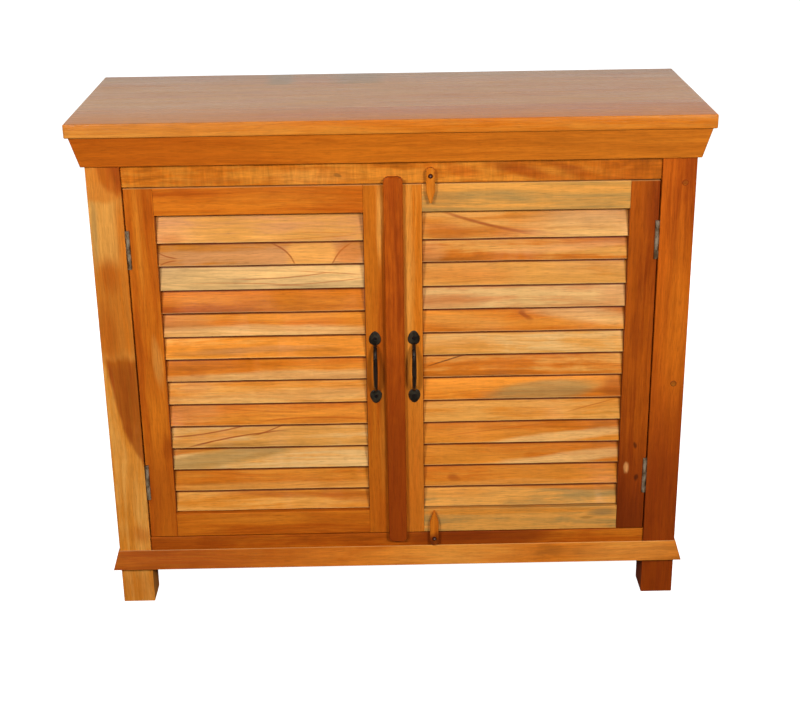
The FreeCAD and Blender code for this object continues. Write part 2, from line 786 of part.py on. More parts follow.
leg_leaves, pins, leg_leaf_screws = [], [], []
for side in SIDES:
    door_leaves, door_leaf_screws = [], []
    for middle in (f"{side}_upper_level", f"{side}_lower_level"):
        leg_leaf, door_leaf, pin, leg_screws, door_screws, notch = hinge(side, middle)
        leg_leaves.append(leg_leaf)
        pins.append(pin)
        leg_leaf_screws += leg_screws
        door_leaves.append(door_leaf)
        door_leaf_screws += door_screws
        let_into_legs["front", side] += [leg_leaf] + leg_screws
        door_pieces[side]["into_hinge_stile"] += [notch, door_leaf] + door_screws
    keep(group(f"{side}_hinge_door_leaves", door_leaves))
    keep(group(f"{side}_hinge_door_screws", door_leaf_screws))
keep(group("hinge_leg_leaves", leg_leaves))
keep(group("hinge_pins", pins))
keep(group("hinge_leg_screws", leg_leaf_screws))

# Handles: a bowed iron grip between two leaf shaped plates, each held by one screw

# Points of a plate's outline: shares of its half width, and of its length from root to tip
SPADE_HIP = (0.86, 0.1)
SPADE_WIDEST = (1, 0.34)
SPADE_SHOULDER = (0.66, 0.7)
SPADE_TIP = (0, 1)

# Half width of a plate's root over the grip's radius
SPADE_NECK = 0.8


def spade(direction):
    """A leaf shaped plate in the XZ plane, its point away from the handle's middle."""
    root = size("handle_length") / 2 - size("spade_length")
    neck = size("grip_radius") * SPADE_NECK
    outline = []
    for sign in (1, -1):
        corners = [FreeCAD.Vector(sign * neck, 0, direction * root)]
        for across, along in (SPADE_HIP, SPADE_WIDEST, SPADE_SHOULDER, SPADE_TIP):
            x = sign * across * size("spade_width") / 2
            corners.append(FreeCAD.Vector(x, 0, direction * (root + along * size("spade_length"))))
        outline.append(Part.Arc(*corners[:3]).toShape())
        outline.append(Part.Arc(*corners[2:]).toShape())
    ends = [FreeCAD.Vector(sign * neck, 0, direction * root) for sign in (1, -1)]
    outline.append(Part.LineSegment(*ends).toShape())
    face = Part.Face(Part.Wire(Part.__sortEdges__(outline)))
    return face.extrude(FreeCAD.Vector(0, -size("spade_thickness"), 0))


def rounded_path(corners, bend):
    """A line through corners, each inner corner rounded to one bend radius."""
    edges = []
    last = corners[0]
    for before, corner, after in zip(corners, corners[1:], corners[2:]):
        into = (corner - before).normalize()
        out = (after - corner).normalize()
        turn = into.getAngle(out)
        arc_start = corner - into * bend * math.tan(turn / 2)
        arc_end = corner + out * bend * math.tan(turn / 2)
        inward = (out - into).normalize()
        middle = corner + inward * (bend / math.cos(turn / 2) - bend)
        edges.append(Part.LineSegment(last, arc_start).toShape())
        edges.append(Part.Arc(arc_start, middle, arc_end).toShape())
        last = arc_end
    edges.append(Part.LineSegment(last, corners[-1]).toShape())
    return Part.Wire(edges)


def grip():
    """A round bar that leaves one plate, bows out to the hand and comes back to the other."""
    start = size("handle_length") / 2 - size("spade_length") + size("grip_lap")
    bowed = start - size("grip_run_in")
    radius = size("grip_radius")
    corners = [
        FreeCAD.Vector(0, -radius, start),
        FreeCAD.Vector(0, -size("grip_reach"), bowed),
        FreeCAD.Vector(0, -size("grip_reach"), -bowed),
        FreeCAD.Vector(0, -radius, -start),
    ]
    ring = Part.Wire([Part.Circle(corners[0], corners[1] - corners[0], radius).toShape()])
    path = rounded_path(corners, size("grip_bend"))
    ends = [Part.makeSphere(radius, corner) for corner in (corners[0], corners[-1])]
    return path.makePipeShell([ring], True, False).fuse(ends)


def handle(side):
    plates = spade(1).fuse(spade(-1))
    whole = plates.fuse(grip()).removeSplitter()
    room = 2 * size("handle_length")
    behind = Part.makeBox(room, room, room, FreeCAD.Vector(-room / 2, 0, -room / 2))
    made = named(doc.addObject("Part::Feature", f"{side}_handle_plain"), f"{side}_handle_plain")
    made.Shape = whole.cut(behind)
    place(made, at(side, "handle_middle"), "-face", "handle_level")
    return made


for side in SIDES:
    screws = []
    for number, sign in ((1, "+"), (2, "-")):
        level = f"handle_level {sign} (handle_length - spade_length) / 2"
        dome = round_bar(
            f"{side}_handle_screw_head_{number}",
            "handle_screw_head * screw_crown",
            "handle_screw_dome",
            "+Y",
            end="handle_screw_head",
        )
        place(dome, at(side, "handle_middle"), "-face - spade_thickness - handle_screw_dome", level)
        shank = round_bar(
            f"{side}_handle_screw_shank_{number}",
            "handle_screw_shank",
            "handle_screw_length",
            "+Y",
        )
        place(shank, at(side, "handle_middle"), "-face - spade_thickness", level)
        screws.append(fuse(f"{side}_handle_screw_{number}", [dome, shank]))
    keep(cut(f"{side}_handle", handle(side), screws))
    keep(group(f"{side}_handle_screws", screws))
    door_pieces[side]["into_meeting_stile"] += screws

for side, pieces in door_pieces.items():
    for stile in ("hinge_stile", "meeting_stile"):
        keep(cut(f"{side}_{stile}", pieces[stile], pieces["into_" + stile]))

# Turn buttons that hold the right door shut, each on a screw in a rail


def turn_button(level, upward):
    """A wooden button with a round end at its screw and a bevelled, blunt point."""
    label = f"{level}_turn_button"
    width = f"{level}_button_width"
    length = f"{level}_button_length"
    end = f"{level}_button_end"
    if upward:
        tip, taper, round_end, hole = length, f"{length} - button_taper", "0", end
    else:
        tip, taper, round_end, hole = "0", "button_taper", length, f"{length} - {end}"
    outline = [
        (f"({width} - button_tip) / 2", tip),
        (f"({width} + button_tip) / 2", tip),
        (width, taper),
        (width, round_end),
        ("0", round_end),
        ("0", taper),
    ]
    if upward:
        outline.reverse()
    body = prism(label, "XZ_Plane", outline, "button_thickness")
    round_level = 0 if upward else size(length)
    ease(
        body,
        level + "_button_end_round",
        "Fillet",
        f"({width} - button_end_flat) / 2",
        lambda middle, along, edge: abs(along.y) > 0.9 and abs(middle.z - round_level) < 0.01,
    )
    ease(
        body,
        level + "_button_edges",
        "Chamfer",
        "button_bevel",
        lambda middle, along, edge: abs(middle.y) < 0.01,
    )
    shaft = "button_screw_shank + button_screw_fit"
    pocket_through(
        body, level + "_button_hole", "XZ_Plane", circles=((f"{width} / 2", hole, shaft),)
    )
    below = f"{level}_button_level - ({hole})"
    place(body, f"{level}_button_offset - {width} / 2", "-button_front", below)
    return keep(body)


button_screws = {}
for level, upward in (("top", False), ("bottom", True)):
    turn_button(level, upward)
    head = round_bar(
        f"{level}_button_screw_head",
        "button_screw_head * screw_crown",
        "button_screw_dome",
        "+Y",
        end="button_screw_head",
    )
    place(
        head,
        f"{level}_button_offset",
        "-button_front - button_screw_fit - button_screw_dome",
        f"{level}_button_level",
    )
    shank = round_bar(
        f"{level}_button_screw_shank",
        "button_screw_shank",
        "button_front - face + button_screw_fit + button_screw_bite",
        "+Y",
    )
    place(
        shank,
        f"{level}_button_offset",
        "-button_front - button_screw_fit",
        f"{level}_button_level",
    )
    button_screws[level] = fuse(f"{level}_button_screw", [head, shank])
    let_into_rails[f"front_{level}_rail"].append(button_screws[level])
keep(group("turn_button_screws", list(button_screws.values())))

# Wooden plugs in the face of the right front leg

plugs = []
for level in ("upper", "lower"):
    plug = round_bar(f"{level}_plug", "plug_radius", "plug_length", "+Y")
    place(plug, "half_body - plug_inset", "-leg_front", f"{level}_plug_level")
    plugs.append(plug)
keep(group("leg_plugs", plugs))
let_into_legs["front", "right"] += plugs

# Legs and rails with all that is let into them

for (end, side), blank in legs.items():
    keep(cut(f"leg_{end}_{side}", blank, let_into_legs[end, side]))
for label, rail in rails.items():
    if let_into_rails[label]:
        keep(cut(label, rail, let_into_rails[label]))
    else:
        keep(named(rail, label))

# Checks, then one file for each piece

doc.recompute()
for made in doc.Objects:
    if "Invalid" in made.State or "Error" in made.State:
        raise RuntimeError(f"{made.Label} could not be made: {made.State}")
labels = [node.Label for node in NODES]
if len(set(labels)) != len(labels):
    raise RuntimeError("two pieces share a name")
for node in NODES:
    shape = node.Shape
    if shape.isNull() or not shape.isValid() or not shape.Solids:
        raise RuntimeError(f"{node.Label} has no sound shape")
    shape.exportStep(f"parts/{node.Label}.step")
    print(node.Label, len(shape.Solids), round(shape.Volume / 1000, 1), "cm3")
print(len(NODES), "pieces")
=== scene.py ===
import math

import bmesh
import bpy
from mathutils import Matrix, Vector


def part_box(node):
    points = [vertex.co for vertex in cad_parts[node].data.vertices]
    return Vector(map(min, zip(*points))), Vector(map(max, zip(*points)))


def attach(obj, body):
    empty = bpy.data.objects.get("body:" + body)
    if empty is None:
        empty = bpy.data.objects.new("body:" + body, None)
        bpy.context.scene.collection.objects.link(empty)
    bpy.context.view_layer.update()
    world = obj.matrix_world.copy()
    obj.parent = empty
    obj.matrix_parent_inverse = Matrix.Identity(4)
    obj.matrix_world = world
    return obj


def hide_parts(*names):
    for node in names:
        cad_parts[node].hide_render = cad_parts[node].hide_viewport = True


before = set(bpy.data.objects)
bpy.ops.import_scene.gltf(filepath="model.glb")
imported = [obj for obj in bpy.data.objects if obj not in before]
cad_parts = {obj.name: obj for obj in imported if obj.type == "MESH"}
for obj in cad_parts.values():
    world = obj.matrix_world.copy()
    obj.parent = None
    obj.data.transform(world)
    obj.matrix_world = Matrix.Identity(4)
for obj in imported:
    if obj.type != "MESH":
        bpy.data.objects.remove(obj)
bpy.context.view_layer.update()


# Legs
# Four square legs of solid hardwood carry the whole sideboard. Each is a board of its own tone:
# the left front leg is golden with a long dark flame, the right one turns red-brown to the floor.
# Rails and panels are let into them, and their long edges are eased with a plane.

def tone(red, green, blue):
    """A finish as it looks on the wood, 0 to 255, as Blender's linear colour."""
    linear = []
    for part in (red, green, blue):
        part /= 255
        linear.append(part / 12.92 if part < 0.04045 else ((part + 0.055) / 1.055) ** 2.4)
    return (*linear, 1.0)


def shade(colour, amount):
    """The same colour, darker or brighter."""
    return (*[part * amount for part in colour[:3]], 1.0)


HONEY = tone(222, 152, 68)
AMBER = tone(212, 128, 38)
ORANGE = tone(204, 110, 22)
RUST = tone(180, 84, 12)
CHESTNUT = tone(150, 62, 8)
OXBLOOD = tone(124, 44, 6)
OLIVE = tone(170, 130, 70)

GRAIN_TURN = {"X": (0, 0, 0), "Y": (0, 0, -math.pi / 2), "Z": (0, math.pi / 2, 0)}


def patch(x, z, long, high, colour, amount=0.7, tilt=0, soft=0.5):
    """A clouded spot or wedge: middle and half sizes in mm, tilt in degrees."""
    return ("patch", x, z, long, high, colour, amount, tilt, soft)


class Nodes:
    """The nodes of one material, or of the room round the piece, added and joined in turn."""

    def __init__(self, owner):
        owner.use_nodes = True
        self.owner = owner
        self.tree = owner.node_tree

    def give(self, socket, value):
        """Joins a socket to another node, or sets it to a number or a colour."""
        if isinstance(value, bpy.types.NodeSocket):
            self.tree.links.new(value, socket)
        else:
            socket.default_value = value

    def add(self, kind, inputs, **settings):
        made = self.tree.nodes.new("ShaderNode" + kind)
        for setting, value in settings.items():
            setattr(made, setting, value)
        for socket, value in inputs.items():
            self.give(made.inputs[socket], value)
        return made

    def math(self, operation, *values):
        return self.add("Math", dict(enumerate(values)), operation=operation).outputs[0]

    def vector(self, operation, *values):
        return self.add("VectorMath", dict(enumerate(values)), operation=operation).outputs[0]

    def mapping(self, vector, kind="POINT", **inputs):
        return self.add("Mapping", {"Vector": vector, **inputs}, vector_type=kind).outputs[0]

    def noise(self, vector, scales, detail=2.0, roughness=0.5, distortion=0.0, output="Fac"):
        """Noise with its scales per metre along each axis."""
        inputs = {
            "Vector": self.mapping(vector, Scale=scales),
            "Scale": 1.0,
            "Detail": detail,
            "Roughness": roughness,
            "Distortion": distortion,
        }
        return self.add("TexNoise", inputs).outputs[output]

    def ramp(self, factor, stops):
        made = self.add("ValToRGB", {"Fac": factor})
        band = made.color_ramp
        band.elements[0].position, band.elements[0].color = stops[0]
        band.elements[1].position, band.elements[1].color = stops[-1]
        for position, colour in stops[1:-1]:
            band.elements.new(position).color = colour
        return made.outputs[0]

    def smooth(self, value, low, high, to_low=0.0, to_high=1.0):
        """Leads a value gently from one span to another."""
        inputs = {"Value": value, "From Min": low, "From Max": high}
        inputs.update({"To Min": to_low, "To Max": to_high})
        return self.add("MapRange", inputs, interpolation_type="SMOOTHSTEP").outputs[0]

    def mix(self, factor, first, second, blend="MIX"):
        inputs = {0: factor, 6: first, 7: second}
        return self.add("Mix", inputs, data_type="RGBA", blend_type=blend).outputs[2]

    def surface(self, inputs):
        """Sets a material's shader and hands the material over."""
        shader = self.tree.nodes["Principled BSDF"]
        for socket, value in inputs.items():
            self.give(shader.inputs[socket], value)
        return self.owner


def board_grain(nodes, place, along, seed):
    """The board's place in its tree, X along the grain: as it is, and bent as grain wanders."""
    grain = nodes.mapping(place, Rotation=GRAIN_TURN[along])
    grain = nodes.vector("ADD", grain, (seed * 1.37, seed * 0.731, seed * 0.417))
    wander = nodes.noise(grain, (3.2, 16, 16), detail=3, output="Color")
    return grain, nodes.vector("MULTIPLY_ADD", wander, (0.0, 0.022, 0.022), grain)


def patch_mask(nodes, inside, strength, soft):
    """Full in the middle of an ellipse and fading over its edge."""
    reach = nodes.add("VectorMath", {0: inside}, operation="LENGTH").outputs["Value"]
    return nodes.smooth(reach, 1 - soft, 1 + soft, strength, 0.0)


def vein_mask(nodes, inside, strength, bow):
    """Full on a curve that bows away from a straight line, and fading at its two ends."""
    parts = nodes.add("SeparateXYZ", {0: inside}).outputs
    along = nodes.math("ABSOLUTE", parts[0])
    curve = nodes.math("MULTIPLY", nodes.math("POWER", along, 2.0), bow)
    off = nodes.math("ABSOLUTE", nodes.math("SUBTRACT", parts[2], curve))
    across = nodes.smooth(off, 0.2, 1.3, strength, 0.0)
    return nodes.math("MULTIPLY", across, nodes.smooth(along, 0.6, 1.1, 1.0, 0.0))


# A mark strays this far along the grain, in metres, and this share of it across
STRAY, STRAY_ACROSS = {"patch": 0.042, "vein": 0.008}, 0.3

# A mark goes right through its board: its half size front to back, in metres
MARK_DEPTH = 1000


def marked(nodes, colour, place, along, marks, streaks, amount):
    """Lays a board's own patches and veins on its colour, later ones over earlier ones."""
    upright = along == "Z"
    drift_scales = (30, 9, 9) if upright else (9, 9, 30)
    drift = nodes.noise(place, drift_scales, detail=3, roughness=0.6, output="Color")
    strayed = {}
    for kind, far in STRAY.items():
        reach = (STRAY_ACROSS * far, 0, far) if upright else (far, 0, STRAY_ACROSS * far)
        start = nodes.vector("MULTIPLY_ADD", drift, reach, place)
        strayed[kind] = nodes.vector("SUBTRACT", start, [part / 2 for part in reach])
    streaked = nodes.smooth(streaks, 0.3, 0.7, 0.7, 1.0)
    figured = nodes.smooth(amount, 0.1, 0.9, 0.86, 1.14)
    for kind, x, z, long, high, mark_tone, strength, tilt, last in marks:
        inside = nodes.mapping(
            strayed[kind], "TEXTURE", Location=(x / 1000, 0, z / 1000),
            Rotation=(0, -math.radians(tilt), 0), Scale=(long / 1000, MARK_DEPTH, high / 1000))
        mask = (patch_mask if kind == "patch" else vein_mask)(nodes, inside, strength, last)
        mark = nodes.mix(1.0, mark_tone, figured, "MULTIPLY")
        colour = nodes.mix(nodes.math("MULTIPLY", mask, streaked), colour, mark)
    return colour


# The heart of the tree lies this far from the boards, in metres, so rings cut them as long lines
HEART = 0.05


def ringed(nodes, colour, bent, clouds, strength, dark):
    """Draws growth rings as dark lines, clearest where the figure is clouded."""
    inputs = {
        "Vector": nodes.mapping(
            bent, Location=(0, HEART, 0.3 * HEART), Rotation=(0, 0.035, 0.02), Scale=(0.14, 1, 1)),
        "Scale": 46,
        "Distortion": 6,
        "Detail": 3,
        "Detail Scale": 0.8,
        "Detail Roughness": 0.65,
    }
    rings = nodes.add("TexWave", inputs, wave_type="RINGS", rings_direction="X").outputs["Fac"]
    rings = nodes.smooth(rings, 0.62, 1.0)
    rings = nodes.math("MULTIPLY", rings, nodes.smooth(clouds, 0.38, 0.62, 0.1, 1.0))
    return nodes.mix(nodes.math("MULTIPLY", rings, strength), colour, dark)


def painted_edges(nodes, colour, place, edges):
    """Fades a board's colour into its bands of painted shade and painted edge highlight."""
    sides = nodes.add("SeparateXYZ", {0: place}).outputs
    for axis, start, width, edge_tone, strength in edges:
        ends = (0.0, strength) if width > 0 else (strength, 0.0)
        fade = nodes.smooth(sides[axis], *sorted((start - width, start)), *ends)
        colour = nodes.mix(fade, colour, edge_tone)
    return colour


def wood(name, ground, streak, along="X", seed=1, light=1.0, figure=0.5, cloud=0.3, lines=0.08,
         ribbon=0.05, marks=(), edges=(), polish=0.38, gloss=0.08):
    """Oiled hardwood whose grain runs along one axis, from a ground tone to a streak tone.

    Figure, cloud, lines and ribbon are how much of broad figure, clouds, growth rings and cross
    bands it shows. Polish is its roughness, and gloss its share of clear coat.
    """
    nodes = Nodes(bpy.data.materials.new(name))
    ground, streak = shade(ground, light), shade(streak, light)
    place = nodes.add("TexCoord", {}).outputs["Object"]
    grain, bent = board_grain(nodes, place, along, seed)

    broad = nodes.noise(bent, (2.0, 30, 30), detail=2.5, roughness=0.55)
    clouds = nodes.noise(bent, (13, 42, 42), detail=3.5, roughness=0.6, distortion=0.5)
    streaks = nodes.noise(bent, (4, 190, 190), detail=4, roughness=0.62)
    amount = 0.5
    for part, strength in ((broad, 2.4 * figure), (clouds, 1.6 * cloud), (streaks, 0.7)):
        low = nodes.math("SUBTRACT", amount, strength / 2)
        amount = nodes.math("MULTIPLY_ADD", part, strength, low)
    colour = nodes.ramp(amount, (
        (0.05, shade(streak, 0.66)),
        (0.36, streak),
        (0.62, ground),
        (0.95, shade(ground, 1.2)),
    ))
    if marks:
        colour = marked(nodes, colour, place, along, marks, streaks, amount)
    if lines:
        colour = ringed(nodes, colour, bent, clouds, lines, shade(streak, 0.3))

    bands = nodes.noise(bent, (150, 9, 20), detail=3, roughness=0.6, distortion=0.6)
    bands = nodes.math("MULTIPLY_ADD", bands, 2 * ribbon, 1 - ribbon)
    colour = nodes.mix(1.0, colour, bands, "MULTIPLY")
    threads = nodes.noise(bent, (16, 430, 430), detail=3, roughness=0.7)
    threads = nodes.math("MULTIPLY_ADD", threads, 0.7, 0.65)
    colour = nodes.mix(1.0, colour, threads, "MULTIPLY")
    pores = nodes.smooth(nodes.noise(grain, (60, 1100, 1100), detail=1), 0.54, 0.74)
    colour = nodes.mix(nodes.math("MULTIPLY", pores, 0.3), colour, shade(streak, 0.35))
    if edges:
        colour = painted_edges(nodes, colour, place, edges)

    height = nodes.noise(grain, (6, 34, 34))
    height = nodes.math("MULTIPLY_ADD", pores, -0.10, height)
    height = nodes.math("MULTIPLY_ADD", streaks, 0.16, height)
    bump = nodes.add("Bump", {"Strength": 0.5, "Distance": 0.0016, "Height": height})
    return nodes.surface({
        "Base Color": colour,
        "Roughness": nodes.smooth(streaks, 0.3, 0.7, polish - 0.06, polish + 0.10),
        "Normal": bump.outputs[0],
        "IOR": 1.5,
        "Specular IOR Level": 0.05 + 1.25 * gloss,
        "Coat Weight": gloss,
        "Coat Roughness": 0.34,
    })


def alone(piece):
    """Selects one piece and nothing else."""
    bpy.ops.object.select_all(action="DESELECT")
    piece.select_set(True)
    bpy.context.view_layer.objects.active = piece


def stand_for(node):
    """Hides the CAD node that a piece stands in for."""
    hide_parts(node)


def finish_piece(piece, material, body="carcase", smooth=20):
    """Gives a piece its finish and its body, its faces smooth below an angle in degrees."""
    piece.data.materials.clear()
    piece.data.materials.append(material)
    alone(piece)
    bpy.ops.object.shade_smooth_by_angle(angle=math.radians(smooth))
    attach(piece, body)


# Edges over this length, in metres, are eased with a plane where they are sharper than this
LONG_EDGE, SHARP = 0.03, math.radians(50)

# Faces over this size, in square metres, are flat, so their shading doesn't lean at the corners
BROAD = 0.0002


def planed_copy(node, name, material, body="carcase", arris=0.0012):
    """A board with the joinery of its CAD node, its long outer edges eased."""
    piece = bpy.data.objects.new(name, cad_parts[node].data.copy())
    bpy.context.scene.collection.objects.link(piece)
    alone(piece)
    bpy.ops.object.mode_set(mode="EDIT")
    bpy.ops.mesh.select_all(action="SELECT")
    bpy.ops.mesh.remove_doubles(threshold=0.00001)
    bpy.ops.mesh.dissolve_limited(angle_limit=math.radians(1))
    bpy.ops.mesh.select_mode(type="EDGE")
    bpy.ops.mesh.select_all(action="DESELECT")
    mesh = bmesh.from_edit_mesh(piece.data)
    for edge in mesh.edges:
        sharp = len(edge.link_faces) == 2 and edge.calc_face_angle_signed() > SHARP
        edge.select_set(sharp and edge.calc_length() > LONG_EDGE)
    bmesh.update_edit_mesh(piece.data)
    bpy.ops.mesh.bevel(offset=arris, segments=2, clamp_overlap=True)
    bpy.ops.object.mode_set(mode="OBJECT")
    stand_for(node)
    finish_piece(piece, material, body)
    for face in piece.data.polygons:
        if face.area > BROAD:
            face.use_smooth = False


planed_copy("leg_front_left", "front_left_leg", wood(
    "golden_leg", HONEY, AMBER, "Z", seed=3, light=1.0, figure=0.6, cloud=0.4, marks=(
        patch(93, 525, 597, 597, CHESTNUT, 0.95, 0, 0.006),
        patch(-478, 640, 200, 158, HONEY, 1.0, 0, 0.05),
        patch(-478, 570, 60, 92, shade(ORANGE, 0.95), 0.95, 0, 0.25),
        patch(-492, 530, 14, 46, RUST, 0.7, 0, 0.7),
        patch(-480, 712, 12, 54, shade(HONEY, 1.12), 0.8, -4, 0.5),
        patch(-453, 705, 12, 66, ORANGE, 0.9, 0, 0.5),
        patch(-501, 715, 6, 56, OLIVE, 0.7, 0, 0.7),
        patch(-480, 630, 13, 30, RUST, 0.75, 0, 0.6),
        patch(-478, 812, 60, 50, ORANGE, 0.7, 0, 0.12),
        patch(-442, 842, 48, 72, RUST, 0.9, 0, 0.1),
        patch(-444, 832, 22, 60, CHESTNUT, 0.9, 0, 0.25),
        patch(-478, 250, 20, 60, HONEY, 0.4, 0, 0.8),
        # This rust patch by the leg's inner edge is painted shade in the corner where the lower rail
        # meets it
        patch(-466, 138, 22, 16, RUST, 0.5, 0, 0.7),
        patch(-478, 30, 40, 36, RUST, 0.35, 0, 0.8),
    )))
planed_copy("leg_front_right", "front_right_leg", wood(
    "red_brown_leg", RUST, CHESTNUT, "Z", seed=7, light=1.1, figure=0.4, marks=(
        patch(492, 540, 24, 150, ORANGE, 0.6, 0, 0.8),
        patch(480, 110, 80, 250, OXBLOOD, 0.9, 0, 0.6),
        patch(505, 350, 6, 60, CHESTNUT, 0.6, 0, 0.7),
    )))
planed_copy("leg_back_left", "back_left_leg", wood("back_left_leg", AMBER, RUST, "Z", seed=11))
planed_copy("leg_back_right", "back_right_leg", wood("back_right_leg", ORANGE, RUST, "Z", seed=13))


# Carcase rails
# Eight rails join the legs, tenoned into them. The upper front rail is mottled gold, the lower
# one dark brown, and those at the sides and back are plainer boards of the same wood.

DARK = tone(66, 26, 8)
planed_copy("front_top_rail", "upper_front_rail", wood(
    "mottled_gold", AMBER, ORANGE, "X", seed=17, light=0.93, figure=0.5, cloud=1.2, ribbon=0.4,
    marks=(
        patch(-88, 801, 6, 4, DARK, 0.85, 0, 0.4),
        patch(-300, 795, 70, 6, CHESTNUT, 0.4, 0, 0.8),
        patch(-140, 800, 60, 12, HONEY, 0.5, 0, 0.8),
        patch(213, 807, 50, 9, CHESTNUT, 0.8, -12, 0.6),
        patch(300, 803, 32, 10, CHESTNUT, 0.8, -20, 0.6),
        patch(390, 800, 60, 30, RUST, 0.7, 0, 0.8),
        patch(120, 806, 30, 8, RUST, 0.8, -10, 0.6),
        patch(255, 795, 60, 5, RUST, 0.6, -10, 0.6),
    )))
planed_copy("front_bottom_rail", "lower_front_rail", wood(
    "dark_rail", ORANGE, RUST, "X", seed=19, light=0.92, figure=0.5, cloud=0.5, marks=(
        patch(-400, 118, 130, 30, CHESTNUT, 0.8, 0, 0.8),
        patch(150, 118, 130, 30, OXBLOOD, 0.9, 0, 0.4),
    )))
planed_copy("back_top_rail", "upper_back_rail", wood("back_rail_gold", AMBER, RUST, "X", seed=23))
planed_copy("back_bottom_rail", "lower_back_rail", wood("back_rail_rust", ORANGE, RUST, "X", seed=29))
SIDE_RAILS = {
    "left_side_top_rail": ("left_upper_side_rail", 33),
    "left_side_bottom_rail": ("left_lower_side_rail", 35),
    "right_side_top_rail": ("right_upper_side_rail", 39),
    "right_side_bottom_rail": ("right_lower_side_rail", 41),
}
for node, (name, seed) in SIDE_RAILS.items():
    planed_copy(node, name, wood(name, AMBER, ORANGE, "Y", seed=seed))


# Side and back panels
# Flat boards in grooves of the legs and rails. The side panels show the finish of the frame,
# the back is a thinner and plainer board.

PEACH = tone(214, 144, 80)
for side, seed, ground, streak in (("left", 41, HONEY, AMBER), ("right", 43, AMBER, RUST)):
    planed_copy(f"{side}_side_panel", f"{side}_panel", wood(
        f"{side}_panel", ground, streak, "Z", seed=seed, figure=0.8, lines=0.25))
planed_copy("back_panel", "rear_panel", wood(
    "rear_panel", PEACH, AMBER, "X", seed=47, figure=0.7, lines=0.25, polish=0.5))


# Floor board, shelf and cleats
# The floor board lies behind the lower rails and the shelf on two cleats between the legs.
# Both are notched round the legs and finished inside with a thinner coat.

planed_copy("floor_board", "floor_shelf", wood(
    "floor_wood", AMBER, ORANGE, "X", seed=53, figure=0.8, polish=0.5))
planed_copy("shelf", "middle_shelf", wood(
    "shelf_wood", HONEY, AMBER, "X", seed=59, figure=0.8, polish=0.5))
planed_copy("floor_cleats", "floor_battens", wood("batten_wood", AMBER, RUST, "X", seed=61))
planed_copy("shelf_cleats", "shelf_battens", wood("shelf_battens", AMBER, RUST, "Y", seed=67))


# Top
# Four boards glued edge to edge, rubbed smooth and polished brightest of all. Their outer edges
# are rounded and a little uneven from the plane, and faint joints show between them.

def board(name, x, y, z, cuts, rounding, segments):
    """A sawn board between two places in mm on each axis, its edges rounded, cut across."""
    low, high = (Vector(end) / 1000 for end in zip(x, y, z))
    bpy.ops.object.select_all(action="DESELECT")
    bpy.ops.mesh.primitive_cube_add(size=1, location=(low + high) / 2)
    piece = bpy.context.active_object
    piece.name = name
    piece.scale = high - low
    bpy.ops.object.transform_apply(location=True, rotation=True, scale=True)
    bpy.ops.object.mode_set(mode="EDIT")
    bpy.ops.mesh.select_mode(type="EDGE")
    bpy.ops.mesh.select_all(action="SELECT")
    bpy.ops.mesh.bevel(offset=rounding / 1000, segments=segments, clamp_overlap=True)
    for number in range(1, cuts + 1):
        bpy.ops.mesh.select_all(action="SELECT")
        across = low.x + (high.x - low.x) * number / (cuts + 1)
        bpy.ops.mesh.bisect(plane_co=(across, 0, 0), plane_no=(1, 0, 0))
    bpy.ops.object.mode_set(mode="OBJECT")
    return piece


HAND_PLANED = bpy.data.textures.new("hand_planed", "CLOUDS")
HAND_PLANED.noise_scale = 0.11
HAND_PLANED.noise_depth = 1


def plane_by_hand(piece, depth):
    """Takes up to a given depth in mm off a board's faces, in long waves."""
    alone(piece)
    wave = piece.modifiers.new("hand_planed", "DISPLACE")
    wave.texture = HAND_PLANED
    wave.texture_coords = "GLOBAL"
    wave.mid_level = 1.0
    wave.strength = depth / 1000
    bpy.ops.object.modifier_apply(modifier=wave.name)


def box_mm(node):
    """The lowest and the highest corner of a CAD node, in mm."""
    return [1000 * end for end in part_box(node)]


SLAB_LOW, SLAB_HIGH = box_mm("top_board_1")[0], box_mm("top_board_4")[1]
TOP_TONES = (
    ("front", AMBER, ORANGE, 71, (patch(-420, 890, 220, 60, HONEY, 0.45, 0, 0.9),)),
    ("second", HONEY, AMBER, 73, ()),
    ("third", HONEY, AMBER, 79, ()),
    ("rear", HONEY, AMBER, 83, (
        patch(-200, 900, 22, 40, OLIVE, 0.8),
        patch(-60, 900, 40, 40, OLIVE, 0.7),
    )),
)
for number, (place, ground, streak, seed, marks) in enumerate(TOP_TONES, 1):
    node = f"top_board_{number}"
    spans = zip(SLAB_LOW, SLAB_HIGH)
    top = board(f"{place}_top_board", *spans, cuts=40, rounding=2.5, segments=3)
    front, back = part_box(node)
    bpy.ops.object.mode_set(mode="EDIT")
    bpy.ops.mesh.select_all(action="SELECT")
    if number > 1:
        bpy.ops.mesh.bisect(plane_co=front, plane_no=(0, 1, 0), clear_inner=True, use_fill=True)
    bpy.ops.mesh.select_all(action="SELECT")
    if number < len(TOP_TONES):
        bpy.ops.mesh.bisect(plane_co=back, plane_no=(0, 1, 0), clear_outer=True, use_fill=True)
    bpy.ops.object.mode_set(mode="OBJECT")
    plane_by_hand(top, 0.5)
    stand_for(node)
    finish_piece(top, wood(
        f"{place}_top_wood", ground, streak, "X", seed=seed, figure=0.3, cloud=0.3, marks=marks,
        polish=0.3, gloss=0.2), smooth=40)


# Cornice and base moulding
# Splayed boards run round the front and sides, mitred at the front corners and nailed to the
# legs: the deep cornice under the top and a lower moulding round the base.

STRAW = tone(224, 174, 106)


def painted_edge_highlight(axis, place, width):
    """A painted highlight: a pale band along an edge where its arris catches the light, given as a
    corner is.
    """
    return (axis, place / 1000, width / 1000, STRAW, 0.4)


